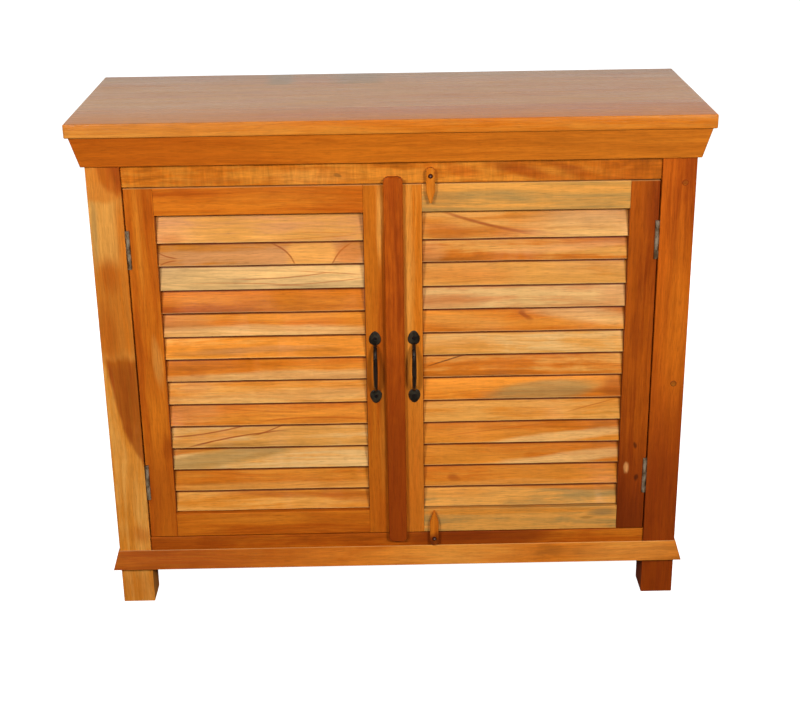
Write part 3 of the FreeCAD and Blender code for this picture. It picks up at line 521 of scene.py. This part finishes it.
CORNICE = {"front": ("X", 89), "left": ("Y", 97), "right": ("Y", 101)}
for place, (along, seed) in CORNICE.items():
    planed_copy(f"cornice_{place}", f"{place}_cornice", wood(
        f"{place}_cornice_wood", ORANGE, RUST, along, seed=seed, figure=0.35, marks=(
            patch(-400, 850, 260, 60, RUST, 0.8, 0, 0.8),
            patch(250, 850, 400, 60, ORANGE, 0.8, 0, 0.8),
            patch(420, 850, 260, 60, AMBER, 0.35, 0, 0.8),
        )))
# The front moulding's top edge gets a painted highlight where its arris catches the light
planed_copy("base_moulding_front", "front_base_moulding", wood(
    "front_moulding_wood", AMBER, ORANGE, "X", seed=103, light=0.97, figure=0.6, cloud=0.7, marks=(
        patch(-420, 90, 230, 60, CHESTNUT, 0.9, 0, 0.8),
        patch(-140, 90, 160, 60, RUST, 0.5, 0, 0.8),
        patch(120, 90, 110, 20, HONEY, 0.4, 0, 0.8),
        patch(420, 90, 90, 20, HONEY, 0.45, 0, 0.8),
    ), edges=(painted_edge_highlight("Z", box_mm("base_moulding_front")[1].z, 1.5),)))
for side, seed in (("left", 107), ("right", 109)):
    planed_copy(f"base_moulding_{side}", f"{side}_base_moulding", wood(
        f"{side}_moulding_wood", ORANGE, RUST, "Y", seed=seed, figure=0.6))


# Door frames
# Each door has two stiles and two rails, tenoned together. Every board has its own tone: the
# left door is orange-brown, the right one has a golden meeting stile, a pale wavy upper rail,
# an olive-clouded lower rail and a dark red hinge stile with a pale knot.

DOOR_FRAMES = {
    "left_hinge_stile": ("Z", ORANGE, RUST, 113, 0.97, 0.25, (
        patch(-428, 700, 5, 90, AMBER, 0.6, 0, 0.7),
        patch(-412, 475, 8, 42, HONEY, 0.55, 4, 0.5),
        patch(-425, 215, 34, 95, CHESTNUT, 0.55, 0, 0.7),
        patch(-408, 306, 10, 22, CHESTNUT, 0.6, 0, 0.5),
    )),
    "left_meeting_stile": ("Z", ORANGE, RUST, 127, 0.86, 0.25, (
        patch(-22, 720, 5, 60, HONEY, 0.75, 0, 0.6),
        patch(-24, 330, 5, 110, AMBER, 0.6, 0, 0.7),
        patch(-14, 560, 6, 160, RUST, 0.5, 0, 0.6),
        patch(-30, 170, 22, 70, RUST, 0.5, 0, 0.8),
    )),
    "left_door_top_rail": ("X", ORANGE, RUST, 131, 1.06, 0.25, (
        patch(-60, 760, 60, 20, RUST, 0.5, 0, 0.8),
        patch(-190, 765, 90, 16, AMBER, 0.4, 0, 0.8),
    )),
    "left_door_bottom_rail": ("X", ORANGE, RUST, 137, 0.97, 0.25, (
        patch(-140, 160, 30, 12, CHESTNUT, 0.35, 0, 0.7),
        patch(-260, 166, 90, 8, AMBER, 0.4, 0, 0.8),
    )),
    "right_hinge_stile": ("Z", RUST, CHESTNUT, 139, 0.86, 0.3, (
        patch(425, 170, 60, 110, OXBLOOD, 0.9, 0, 0.7),
        patch(425, 140, 60, 60, DARK, 0.3, 0, 0.8),
        patch(440, 740, 14, 60, OXBLOOD, 0.6, 0, 0.7),
        patch(413, 250, 4.5, 8, PEACH, 0.95, 0, 0.35),
        patch(428, 292, 3.5, 5, DARK, 0.9),
        patch(433, 236, 4, 5, DARK, 0.9),
    )),
    "right_meeting_stile": ("Z", AMBER, ORANGE, 149, 1.02, 0.2, (
        patch(26, 640, 8, 150, HONEY, 0.55, 0, 0.7),
        patch(28, 220, 30, 200, RUST, 0.65, 0, 0.8),
        patch(18, 600, 3, 200, RUST, 0.4, 0, 0.7),
    )),
    "right_door_top_rail": ("X", HONEY, OLIVE, 151, 1.02, 0.2, (
        patch(70, 765, 40, 30, AMBER, 0.3, 0, 0.8),
    )),
    "right_door_bottom_rail": ("X", HONEY, OLIVE, 157, 0.95, 0.5, (
        patch(200, 171, 190, 6, AMBER, 0.75, 0, 0.4),
        patch(376, 166, 26, 7, tone(120, 100, 66), 0.7),
        patch(345, 155, 12, 3, DARK, 0.4),
    )),
}
for node, (along, ground, streak, seed, light, cloud, marks) in DOOR_FRAMES.items():
    # The frames' top edges, but not the bottom rails', get a painted highlight where their arrises
    # catch the light
    edges = () if "bottom" in node else (painted_edge_highlight("Z", box_mm(node)[1].z, 1.6),)
    planed_copy(node, node + "_board", wood(
        node + "_wood", ground, streak, along, seed=seed, light=light, cloud=cloud, marks=marks,
        edges=edges), body=node.split("_")[0] + "_door")


# Slats
# Thirteen thin boards lap down each door like weatherboards, housed in the stiles. They are
# planed by hand, so edges and faces wander a little, and each comes from another plank.

BEIGE = tone(198, 156, 98)

# In mm: a slat's thickness and width, and how far its foot stands before the slat below
SLAT_THICK, SLAT_WIDE, SLAT_STEP = 9, 50, 10.2
SLAT_COUNT, FIELD_HEIGHT = 13, 559.5
SLAT_TILT = math.asin(SLAT_STEP * SLAT_COUNT / FIELD_HEIGHT)

# In mm: where the slats' feet and ends lie
SLAT_FACE = -171
SLAT_SPAN = {"left": (-406, -43.25), "right": (43.25, 406)}

# In mm: how deep the plane's waves in a slat are, and the height of the painted highlight on its
# lower edge
SLAT_WAVES, SLAT_EDGE_HIGHLIGHT = 1.6, 0.8


def vein(x, z, long, high, colour, amount=0.8, tilt=0, bow=0.0):
    """A dark line in the grain: middle, half length and half width in mm, bow in half widths."""
    return ("vein", x, z, long, high, colour, amount, tilt, bow)


def corner(axis, place, width):
    """A band of painted shade, past a place in mm, on the side that width points to."""
    return (axis, place / 1000, width / 1000, shade(CHESTNUT, 0.5), 0.9)


# The slats of a door from the top: height of the lower edge in mm, ground and streak tone,
# light, strength of the growth rings, and marks
LEFT_SLATS = (
    (686.0, HONEY, PEACH, 0.96, 0.15, (
        patch(-385, 705, 30, 26, PEACH, 0.7, 0, 0.7),
        patch(-385, 692, 24, 8, RUST, 0.4, 0, 0.8),
        vein(-110, 700, 60, 0.9, RUST, 0.5, -2),
        vein(-130, 692, 70, 0.9, RUST, 0.5, 3),
    )),
    (645.5, PEACH, AMBER, 0.82, 0.0, (
        patch(-138, 665, 42, 40, HONEY, 0.95, 0, 0.2),
        vein(-182, 667, 30, 1.6, CHESTNUT, 0.9, -42, -5.0),
        vein(-92, 664, 28, 1.6, CHESTNUT, 0.9, 48, -4.0),
        patch(-76, 662, 22, 20, ORANGE, 0.5, 0, 0.4),
        vein(-385, 662, 18, 1.2, CHESTNUT, 0.9, -18, 2.0),
        vein(-383, 653, 16, 1.2, CHESTNUT, 0.9, 14, -2.0),
    )),
    (602.1, STRAW, BEIGE, 1.15, 0.3, (
        vein(-190, 621, 90, 1.0, RUST, 0.85, 3, 4.0),
        vein(-250, 613, 110, 1.0, RUST, 0.75, -2, -4.0),
        vein(-110, 628, 60, 0.9, RUST, 0.75, -4),
        vein(-130, 611, 90, 0.9, RUST, 0.75, 4, 3.0),
        patch(-345, 625, 60, 30, STRAW, 0.6, 0, 0.8),
    )),
    (560.2, ORANGE, RUST, 0.98, 0.05, (
        patch(-330, 585, 60, 8, AMBER, 0.6),
        patch(-150, 572, 150, 14, AMBER, 0.6, 0, 0.8),
    )),
    (517.1, AMBER, ORANGE, 1.1, 0.1, (
        patch(-240, 524, 230, 11, STRAW, 0.85, 0, 0.4),
        patch(-380, 545, 60, 20, PEACH, 0.5),
    )),
    (475.3, HONEY, AMBER, 1.27, 0.05, (
        patch(-250, 490, 120, 5, PEACH, 0.6, 2, 0.6),
        patch(-120, 484, 80, 10, ORANGE, 0.3, 0, 0.8),
    )),
    (433.9, AMBER, ORANGE, 1.09, 0.05, (
        patch(-190, 441, 220, 9, STRAW, 0.8, 1, 0.4),
        patch(-345, 448, 20, 8, RUST, 0.4),
    )),
    (390.1, HONEY, AMBER, 1.1, 0.05, (
        patch(-200, 402, 210, 11, STRAW, 0.6, 2, 0.5),
        patch(-345, 418, 30, 10, PEACH, 0.5),
    )),
    (347.8, AMBER, ORANGE, 1.06, 0.05, (
        vein(-140, 360, 110, 1.8, RUST, 0.8, 0, -4.0),
        vein(-230, 372, 80, 1.2, RUST, 0.6, -3, 2.0),
        patch(-110, 356, 60, 7, CHESTNUT, 0.4, 4, 0.6),
        patch(-360, 370, 40, 20, PEACH, 0.4),
    )),
    (305.1, STRAW, HONEY, 0.97, 0.12, (
        vein(-335, 331, 80, 1.6, CHESTNUT, 1.0, 8, 3.0),
        vein(-285, 324, 95, 1.6, CHESTNUT, 1.0, 9, -3.0),
        vein(-220, 336, 40, 1.3, CHESTNUT, 1.0, 20, 2.0),
        patch(-320, 326, 90, 7, ORANGE, 0.35, 8),
    )),
    (263.0, STRAW, HONEY, 0.96, 0.1, (
        patch(-330, 280, 150, 13, OLIVE, 0.9, 8, 0.3),
        patch(-350, 299, 120, 5, ORANGE, 0.85, 7, 0.4),
    )),
    (220.7, AMBER, ORANGE, 0.98, 0.05, (patch(-190, 228, 220, 7, HONEY, 0.8, 0, 0.5),)),
    (179.9, HONEY, AMBER, 1.04, 0.1, (
        patch(-180, 207, 130, 5, RUST, 0.6, -2, 0.5),
        patch(-80, 203, 60, 10, RUST, 0.5, -6, 0.4),
    )),
)
RIGHT_SLATS = (
    (686.4, HONEY, AMBER, 0.95, 0.1, (
        vein(165, 708, 90, 3.0, CHESTNUT, 0.9, -14, 1.5),
        vein(285, 692, 70, 2.6, CHESTNUT, 0.6, -6),
        patch(90, 698, 44, 14, RUST, 0.7, -8),
        patch(180, 692, 70, 8, RUST, 0.5, -10, 0.7),
        patch(240, 694, 50, 5, RUST, 0.4, -8, 0.7),
        # This pale patch at the slat's right end is a painted sheen
        patch(330, 705, 90, 30, STRAW, 0.7, 0, 0.6),
    )),
    (646.0, HONEY, ORANGE, 0.93, 0.05, (
        patch(300, 668, 110, 7, PEACH, 0.7, 3),
        patch(65, 662, 20, 18, PEACH, 0.6),
    )),
    (602.5, HONEY, AMBER, 0.87, 0.08, (patch(120, 620, 80, 14, ORANGE, 0.5, 0, 0.7),)),
    (560.8, STRAW, PEACH, 0.94, 0.12, (
        patch(85, 572, 60, 12, RUST, 0.5, 0, 0.7),
        patch(380, 582, 26, 18, PEACH, 0.6),
    )),
    (518.0, AMBER, ORANGE, 1.05, 0.1, (
        patch(229, 546, 14, 5, CHESTNUT, 0.8, -40),
        patch(330, 546, 95, 13, STRAW, 0.8, -8),
        patch(120, 534, 80, 12, HONEY, 0.6, -4),
    )),
    (476.0, STRAW, HONEY, 1.0, 0.12, (patch(100, 490, 70, 12, AMBER, 0.5, 0, 0.7),)),
    (434.2, HONEY, ORANGE, 1.0, 0.08, (vein(92, 463, 40, 1.3, DARK, 0.9, 16),)),
    (390.6, AMBER, ORANGE, 1.16, 0.1, (
        patch(262, 404, 95, 17, OLIVE, 0.95, 4, 0.3),
        patch(390, 408, 26, 20, CHESTNUT, 0.6),
    )),
    (348.2, HONEY, AMBER, 0.99, 0.08, (vein(345, 372, 45, 1.2, RUST, 0.6, 14),)),
    (305.4, AMBER, ORANGE, 1.0, 0.08, (
        patch(300, 314, 140, 9, STRAW, 0.85, 5, 0.35),
        vein(190, 330, 110, 1.2, RUST, 0.5, 6),
    )),
    (263.3, AMBER, ORANGE, 0.97, 0.08, (patch(310, 273, 130, 9, STRAW, 0.8, 5, 0.35),)),
    (221.0, ORANGE, AMBER, 1.0, 0.05, (
        patch(109, 236, 10, 6, CHESTNUT, 0.6),
        patch(250, 226, 160, 5, HONEY, 0.6, 0, 0.5),
    )),
    (180.0, HONEY, OLIVE, 1.0, 0.15, (
        patch(290, 213, 130, 6, ORANGE, 0.9, -3, 0.4),
        patch(110, 205, 60, 10, AMBER, 0.5, 0, 0.6),
    )),
)


def slat(name, span, level, body, material):
    """One slat, its lower front edge at a height, leaning back at the top."""
    deep, high = (0, SLAT_THICK), (0, SLAT_WIDE)
    piece = board(name, span, deep, high, cuts=28, rounding=0.9, segments=2)
    turn = Matrix.Rotation(-SLAT_TILT, 4, "X")
    foot = Vector((0, SLAT_FACE, level)) / 1000
    piece.data.transform(Matrix.Translation(foot) @ turn)
    plane_by_hand(piece, SLAT_WAVES)
    finish_piece(piece, material, body, smooth=35)
    return piece


# Shade is painted in a band below each lap, where the slat above shades the one below. In mm, the
# band would be this deep at the floor and is shallower by the taper for each mm of height
SHADE_BAND_DEPTH, SHADE_BAND_TAPER = 7.125, 0.003766

# The ends of the slats get painted shade from here on, in mm, where the stiles shade them: half
# housed in the stile, half to be seen
SHADED_END = 6.5

for side, slats in (("left", LEFT_SLATS), ("right", RIGHT_SLATS)):
    node = f"{side}_door_slats"
    first, last = SLAT_SPAN[side]
    lap = box_mm(f"{side}_door_top_rail")[0].z
    for number, (level, ground, streak, light, lines, marks) in enumerate(slats, 1):
        # Each slat gets painted shade under the lap and at both ends, and a painted highlight on its
        # lower edge
        edges = (
            corner("Z", lap - SHADE_BAND_DEPTH + SHADE_BAND_TAPER * lap, 1.8),
            corner("X", first + SHADED_END, -1.5),
            corner("X", last - SHADED_END, 1.5),
            painted_edge_highlight("Z", level + SLAT_EDGE_HIGHLIGHT, -2 * SLAT_EDGE_HIGHLIGHT),
        )
        piece = slat(f"{side}_slat_{number}", (first, last), level, f"{side}_door", wood(
            f"{side}_slat_wood_{number}", ground, streak, "X", light=light, figure=0.75,
            seed=number * 3.3 + (200 if side == "left" else 300), cloud=0.45, lines=lines,
            gloss=0.14, marks=marks, edges=edges))
        stand_for(node)
        lap = level


# Astragal
# A flat strip of dark red wood, rounded at its corners, is glued to the right door's meeting
# stile. It laps over the gap between the doors and a little over both rails.

planed_copy("astragal", "cover_strip", wood(
    "strip_wood", RUST, CHESTNUT, "Z", seed=163, light=1.1, figure=0.4, cloud=0.4, marks=(
        patch(0, 180, 60, 280, OXBLOOD, 0.85, 0, 0.75),
    )), body="right_door", arris=0.0008)


# Hinges
# Steel butt hinges, dull and a little tarnished, let into legs and doors. Their pins and
# screws are of the same steel.

def metal(name, colour, tarnished, roughness, metallic, seed, lacquer=0.0):
    """Iron or steel with patchy tarnish, fine pits and uneven polish, under lacquer or bare."""
    nodes = Nodes(bpy.data.materials.new(name))
    place = nodes.add("TexCoord", {}).outputs["Object"]
    place = nodes.vector("ADD", place, (seed * 0.37, seed * 0.71, seed * 0.17))
    cloud = nodes.noise(place, (90, 90, 60), detail=4, roughness=0.6)
    pits = nodes.noise(place, (900, 900, 900), detail=2, roughness=0.6)
    base = nodes.mix(nodes.smooth(cloud, 0.38, 0.66), colour, tarnished)
    base = nodes.mix(nodes.smooth(pits, 0.55, 0.75, 0.0, 0.4), base, shade(colour, 0.4))
    height = nodes.math("MULTIPLY_ADD", pits, 0.4, cloud)
    bump = nodes.add("Bump", {"Strength": 0.5, "Distance": 0.0004, "Height": height})
    return nodes.surface({
        "Base Color": base,
        "Roughness": nodes.smooth(cloud, 0.3, 0.7, roughness - 0.07, roughness + 0.12),
        "Normal": bump.outputs[0],
        "Metallic": metallic,
        "Coat Weight": lacquer,
        "Coat Roughness": 0.14,
    })


def refinish(node, material):
    """Gives a CAD piece whose shape is right its finish."""
    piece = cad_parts[node]
    piece.data.materials.clear()
    piece.data.materials.append(material)


HINGE_STEEL = metal("hinge_steel", tone(184, 166, 138), tone(100, 74, 46), 0.38, 0.5, 3)
for node in ("hinge_leg_leaves", "left_hinge_door_leaves", "right_hinge_door_leaves", "hinge_pins"):
    refinish(node, HINGE_STEEL)
SCREW_STEEL = metal("screw_steel", tone(120, 112, 98), tone(70, 52, 36), 0.4, 0.85, 5)
for node in ("hinge_leg_screws", "left_hinge_door_screws", "right_hinge_door_screws"):
    refinish(node, SCREW_STEEL)


# Turn buttons
# Two small wooden buttons turn on screws in the rails and hold the right door shut. They are
# cut from offcuts of orange wood, with a blunt point, bevelled edges and a round end. Their
# slotted screws have dark red-black domed heads, with a pale spot at the top painted as a
# highlight.

planed_copy("top_turn_button", "upper_button", wood(
    "upper_button_wood", AMBER, ORANGE, "Z", seed=167, light=1.0, marks=(
        patch(64, 780, 2, 14, ORANGE, 0.7, 0, 0.6),
    )), body="top_button")
planed_copy("bottom_turn_button", "lower_button", wood(
    "lower_button_wood", ORANGE, RUST, "Z", seed=173, marks=(
        patch(67.5, 112, 16, 20, OXBLOOD, 0.95, 0, 0.3),
        patch(67.5, 112, 16, 10, DARK, 0.6, 0, 0.5),
    )), body="bottom_button")

# In mm: the screw heads' radius and height, their slot's width, and the painted highlight on top
HEAD_RADIUS, HEAD_HEIGHT = 4, 1.9
SLOT_WIDTH, GLINT_RADIUS = 0.9, 1.3

# Each step of a domed head: its share of the radius inwards, and of the height forwards
DOME_RIM = 0.26
DOME_STEPS = ((0.08, 0.25), (0.16, 0.25), (0.2, 0.16), (0.2, 0.08))

# Each button's screw from its round end, in mm upwards, and which corner of its box is that end
BUTTON_SCREWS = {"top": (-13.6, 1), "bottom": (14.6, 0)}


def disc(name, x, y, z, radius, sides):
    """A round plate in mm that faces the front, left in edit mode with its face selected."""
    bpy.ops.object.select_all(action="DESELECT")
    bpy.ops.mesh.primitive_circle_add(
        vertices=sides, radius=radius / 1000, fill_type="NGON",
        location=(x / 1000, y / 1000, z / 1000), rotation=(math.pi / 2, 0, 0))
    piece = bpy.context.active_object
    piece.name = name
    bpy.ops.object.transform_apply(location=True, rotation=True, scale=True)
    bpy.ops.object.mode_set(mode="EDIT")
    bpy.ops.mesh.select_mode(type="FACE")
    bpy.ops.mesh.select_all(action="SELECT")
    return piece


def raise_face(height):
    """Draws the selected face forwards out of its plane, with walls behind it."""
    bpy.ops.mesh.extrude_region_move(TRANSFORM_OT_translate={"value": (0, -height / 1000, 0)})


def step_in(inset, height):
    """Narrows the selected face evenly and moves it forwards."""
    bpy.ops.mesh.inset(thickness=inset / 1000)
    bpy.ops.transform.translate(value=(0, -height / 1000, 0))


def close_shell():
    """Merges what the steps left double, points all faces outwards and leaves edit mode."""
    bpy.ops.mesh.select_all(action="SELECT")
    bpy.ops.mesh.remove_doubles(threshold=0.000001)
    bpy.ops.mesh.normals_make_consistent(inside=False)
    bpy.ops.object.mode_set(mode="OBJECT")


def second_finish(piece, x, z, inner, material):
    """Gives the faces outside a circle in mm another finish."""
    piece.data.materials.append(material)
    for face in piece.data.polygons:
        if math.hypot(1000 * face.center.x - x, 1000 * face.center.z - z) > inner:
            face.material_index = 1


def domed_head(name, x, y, z):
    """The head of a slotted screw, its slot level."""
    piece = disc(name, x, y, z, HEAD_RADIUS, 28)
    raise_face(DOME_RIM * HEAD_HEIGHT)
    for inset, rise in DOME_STEPS:
        step_in(inset * HEAD_RADIUS, rise * HEAD_HEIGHT)
    for side in (-1, 1):
        bpy.ops.mesh.select_all(action="SELECT")
        level = (z + side * SLOT_WIDTH / 2) / 1000
        bpy.ops.mesh.bisect(plane_co=(0, 0, level), plane_no=(0, 0, 1))
    bpy.ops.mesh.select_all(action="DESELECT")
    mesh = bmesh.from_edit_mesh(piece.data)
    for face in mesh.faces:
        off = abs(1000 * face.calc_center_median().z - z)
        face.select_set(off < 0.4 * SLOT_WIDTH and face.normal.y < -0.3)
    bmesh.update_edit_mesh(piece.data)
    raise_face(-HEAD_HEIGHT / 2)
    close_shell()
    return piece


# The pale steel at the top of each head is a painted highlight, the rest of the head is dark
# red-black
PAINTED_GLINT = metal("painted_glint", tone(210, 186, 178), tone(150, 120, 110), 0.35, 0.6, 9)
DARK_RED_HEAD = wood("dark_red_head", shade(OXBLOOD, 0.25), shade(DARK, 0.3), "X", seed=191)
for level, (from_end, end) in BUTTON_SCREWS.items():
    low, high = box_mm(f"{level}_turn_button")
    across, up = (low.x + high.x) / 2, (low, high)[end].z + from_end
    screw = domed_head(f"{level}_button_screw", across, low.y, up)
    stand_for("turn_button_screws")
    finish_piece(screw, PAINTED_GLINT, smooth=50)
    second_finish(screw, across, up, GLINT_RADIUS, DARK_RED_HEAD)


# Plugs
# Two round plugs of wood hide screws in the face of the right front leg. They are cut from a
# duller board, glued in a hair proud, and dark finish has gathered round them.

# In mm, with the rim of gathered finish and the round that leads to the plug's face
PLUG_RADIUS, PLUG_RIM, PLUG_ROUND = 5.2, 0.8, 0.2
PLUG_LET_IN, PLUG_PROUD = 1, 0.25

PLUG_WOOD = wood("plug_wood", AMBER, RUST, "X", seed=179, light=0.68)
GLUE_LINE = wood("glue_line", OXBLOOD, DARK, "X", seed=181)
low, high = box_mm("leg_plugs")
across, half = (low.x + high.x) / 2, (high.x - low.x) / 2
for word, level in (("upper", high.z - half), ("lower", low.z + half)):
    plug = disc(f"{word}_leg_plug", across, low.y + PLUG_LET_IN, level, PLUG_RADIUS, 32)
    raise_face(PLUG_LET_IN + PLUG_PROUD / 2)
    step_in(PLUG_RIM, 0)
    step_in(PLUG_ROUND, PLUG_PROUD / 2)
    close_shell()
    stand_for("leg_plugs")
    finish_piece(plug, PLUG_WOOD)
    second_finish(plug, across, level, PLUG_RADIUS - PLUG_RIM, GLUE_LINE)


# Handles
# Bowed pulls of blackened iron between two egg shaped plates, each plate held by one screw. The
# plates are struck from sheet and dished; the bow is forged round and thinner at its ends.

BOW_IRON = metal("bow_iron", tone(30, 18, 10), tone(52, 36, 26), 0.3, 0.5, 7, lacquer=1.0)
PLATE_IRON = metal("plate_iron", tone(36, 29, 20), tone(68, 60, 46), 0.42, 0.5, 7, lacquer=0.2)
SCREW_IRON = metal("black_screw", tone(10, 8, 8), tone(24, 20, 20), 0.2, 0.3, 11, lacquer=1.0)

# In mm; the plate's blunt tip is drawn out by a share of its half length
PLATE_WIDE, PLATE_LONG, PLATE_THICK = 20.6, 26, 2.5
PLATE_TIP, PLATE_TAPER = 0.07, 0.16

# A plate's edge and each step of its dished face: mm inwards, and share of the thickness forwards
PLATE_EDGE = 0.4
PLATE_STEPS = ((0.7, 0.3), (1.3, 0.2), (2, 0.1))

# The bow's curve in mm, forwards of the door and up from its middle: where it leaves a plate and
# where it heads from there, its grip and its shoulder
BOW_ROOT, BOW_TAIL, BOW_RISE = (0.6, 43), (-3, 44), (11, 40)
BOW_GRIP, BOW_SHOULDER = (21.5, 0), (21.5, 27)
BOW_THICK, BOW_ROOT_SHARE = 4.2, 0.78


def end_plate(name, x, y, tip, end):
    """A dished plate whose blunt point looks up or down, away from the bow."""
    piece = disc(name, 0, y, 0, 1000, 48)
    bpy.ops.object.mode_set(mode="OBJECT")
    for point in piece.data.vertices:
        across, along = point.co.x, point.co.z
        wide = (1 - PLATE_TAPER * along) * PLATE_WIDE / 2
        drawn = along + PLATE_TIP * max(along, 0) ** 4 - PLATE_TIP
        point.co.x = (x + across * wide) / 1000
        point.co.z = (tip + end * (drawn - 1) * PLATE_LONG / (2 + PLATE_TIP)) / 1000
    bpy.ops.object.mode_set(mode="EDIT")
    bpy.ops.mesh.select_all(action="SELECT")
    bpy.ops.mesh.normals_make_consistent(inside=False)
    raise_face(PLATE_EDGE * PLATE_THICK)
    for inset, rise in PLATE_STEPS:
        step_in(inset, rise * PLATE_THICK)
    close_shell()
    return piece


def mirrored(place):
    """The same place below the middle of the handle."""
    forward, up = place
    return forward, -up


def bow(name, x, y, level):
    """The grip: one curve from plate to plate, a little thinner where it leaves them."""
    bpy.ops.object.select_all(action="DESELECT")
    bpy.ops.curve.primitive_bezier_curve_add(enter_editmode=False)
    piece = bpy.context.active_object
    piece.name = name
    curve = piece.data
    spline = curve.splines[0]
    spline.bezier_points.add(1)
    stations = (
        (BOW_ROOT, BOW_TAIL, BOW_RISE, BOW_ROOT_SHARE),
        (BOW_GRIP, BOW_SHOULDER, mirrored(BOW_SHOULDER), 1.0),
        (mirrored(BOW_ROOT), mirrored(BOW_RISE), mirrored(BOW_TAIL), BOW_ROOT_SHARE),
    )
    for point, (*places, share) in zip(spline.bezier_points, stations):
        point.handle_left_type = "FREE"
        point.handle_right_type = "FREE"
        at, before, after = (
            Vector((x, y - forward, level + up)) / 1000 for forward, up in places)
        point.co = at
        point.handle_left = before
        point.handle_right = after
        point.radius = share
    curve.dimensions = "3D"
    curve.resolution_u = 20
    curve.bevel_depth = BOW_THICK / 1000
    curve.bevel_resolution = 6
    curve.use_fill_caps = True
    alone(piece)
    bpy.ops.object.convert(target="MESH")
    piece = bpy.context.active_object
    bpy.ops.object.transform_apply(location=True, rotation=True, scale=True)
    bpy.ops.object.mode_set(mode="EDIT")
    close_shell()
    return piece


for side in ("left", "right"):
    node = f"{side}_handle"
    low, high = box_mm(node)
    middle = (low.x + high.x) / 2
    pieces = {bow(f"{node}_bow", middle, high.y, (low.z + high.z) / 2): BOW_IRON}
    for word, tip, end in (("upper", high.z, 1), ("lower", low.z, -1)):
        plate = end_plate(f"{node}_{word}_plate", middle, high.y, tip, end)
        pieces[plate] = PLATE_IRON
    for piece, iron in pieces.items():
        stand_for(node)
        finish_piece(piece, iron, f"{side}_door", smooth=40)
    refinish(f"{node}_screws", SCREW_IRON)


# Studio
# A white floor in a white room: soft light from a box at either side of the camera and from a
# low one behind the sideboard. The camera stands in front, half a metre above the top.

FLOOR_RADIUS = 9
FLOOR_MIRRORED = (0.08, 0.08, 0.08, 1)
FLOOR_SEEN = (0.8, 0.8, 0.8, 1)
WHITE, WARM_WHITE = (1, 1, 1, 1), (1.0, 0.99, 0.97, 1)

bpy.ops.object.select_all(action="DESELECT")
bpy.ops.mesh.primitive_circle_add(vertices=96, radius=FLOOR_RADIUS, fill_type="NGON")
floor = bpy.context.active_object
floor.name = "studio_floor"
paper = Nodes(bpy.data.materials.new("white_paper"))
floor.data.materials.append(paper.surface({
    "Base Color": FLOOR_MIRRORED,
    "Roughness": 0.9,
    "Specular IOR Level": 0.1,
}))
glow = paper.add("BsdfPrincipled", {
    "Base Color": FLOOR_SEEN,
    "Roughness": 0.9,
    "Emission Color": WHITE,
    "Emission Strength": 1.0,
})
seen = paper.add("LightPath", {}).outputs["Is Camera Ray"]
plain = paper.tree.nodes["Principled BSDF"].outputs[0]
either = paper.add("MixShader", {0: seen, 1: plain, 2: glow.outputs[0]})
paper.give(paper.tree.nodes["Material Output"].inputs["Surface"], either.outputs[0])

# The room as the gloss mirrors it: how bright it is before and behind the sideboard
ROOM_BEFORE, ROOM_BEHIND = 0.06, 0.85
ROOM_LIGHT = 0.2

bpy.context.scene.world = bpy.data.worlds.new("white_room")
room = Nodes(bpy.context.scene.world)
backdrop = room.tree.nodes["Background"]
backdrop.inputs["Color"].default_value = WHITE
direction = room.add("TexCoord", {}).outputs["Generated"]
bright = room.add("MapRange", {
    "Value": room.add("SeparateXYZ", {0: direction}).outputs["Y"],
    "From Min": -0.2,
    "From Max": 0.5,
    "To Min": ROOM_BEFORE,
    "To Max": ROOM_BEHIND,
}).outputs[0]
around = room.add("Background", {"Color": WARM_WHITE, "Strength": bright})
ambient = room.add("Background", {"Color": WARM_WHITE, "Strength": ROOM_LIGHT})
rays = room.add("LightPath", {}).outputs
unseen = room.add("MixShader", {
    0: rays["Is Glossy Ray"],
    1: ambient.outputs[0],
    2: around.outputs[0],
})
shown = room.add("MixShader", {
    0: rays["Is Camera Ray"],
    1: unseen.outputs[0],
    2: backdrop.outputs[0],
})
room.give(room.tree.nodes["World Output"].inputs["Surface"], shown.outputs[0])

# The gloss mirrors only this share of a softbox, so that the polished top doesn't glare
SHEEN = 0.45


def softbox(name, place, aim, size, power):
    """A square lamp for the wood's colour, and a weaker one that only the gloss shows."""
    for kind, share in (("light", 1.0), ("sheen", SHEEN)):
        light = bpy.data.lights.new(f"{name}_{kind}", "AREA")
        light.shape = "SQUARE"
        light.size = size
        light.energy = share * power
        lamp = bpy.data.objects.new(f"{name}_{kind}", light)
        bpy.context.scene.collection.objects.link(lamp)
        lamp.location = place
        lamp.rotation_euler = (Vector(aim) - Vector(place)).to_track_quat("-Z", "Y").to_euler()
        lamp.visible_camera = False
        lamp.visible_glossy = kind == "sheen"
        lamp.visible_diffuse = kind == "light"


softbox("left_softbox", (-1.2, -2.4, 1.7), (-0.1, 0, 0.45), size=0.5, power=43)
softbox("right_softbox", (1.2, -2.4, 1.7), (0.1, 0, 0.45), size=0.5, power=45)
softbox("rear_softbox", (0, 2.6, 0.4), (0, 0, 0.45), size=0.6, power=24)

CAMERA_PLACE = (-0.01618, -2.56258, 1.41363)
CAMERA_TURN = (68.598, 0.725, -0.897)

lens = bpy.data.cameras.new("view")
lens.lens = 66.25
lens.sensor_width = 36
camera = bpy.data.objects.new("view", lens)
bpy.context.scene.collection.objects.link(camera)
camera.location = CAMERA_PLACE
camera.rotation_euler = [math.radians(turn) for turn in CAMERA_TURN]
bpy.context.scene.camera = camera
bpy.context.scene.view_settings.view_transform = "Standard"
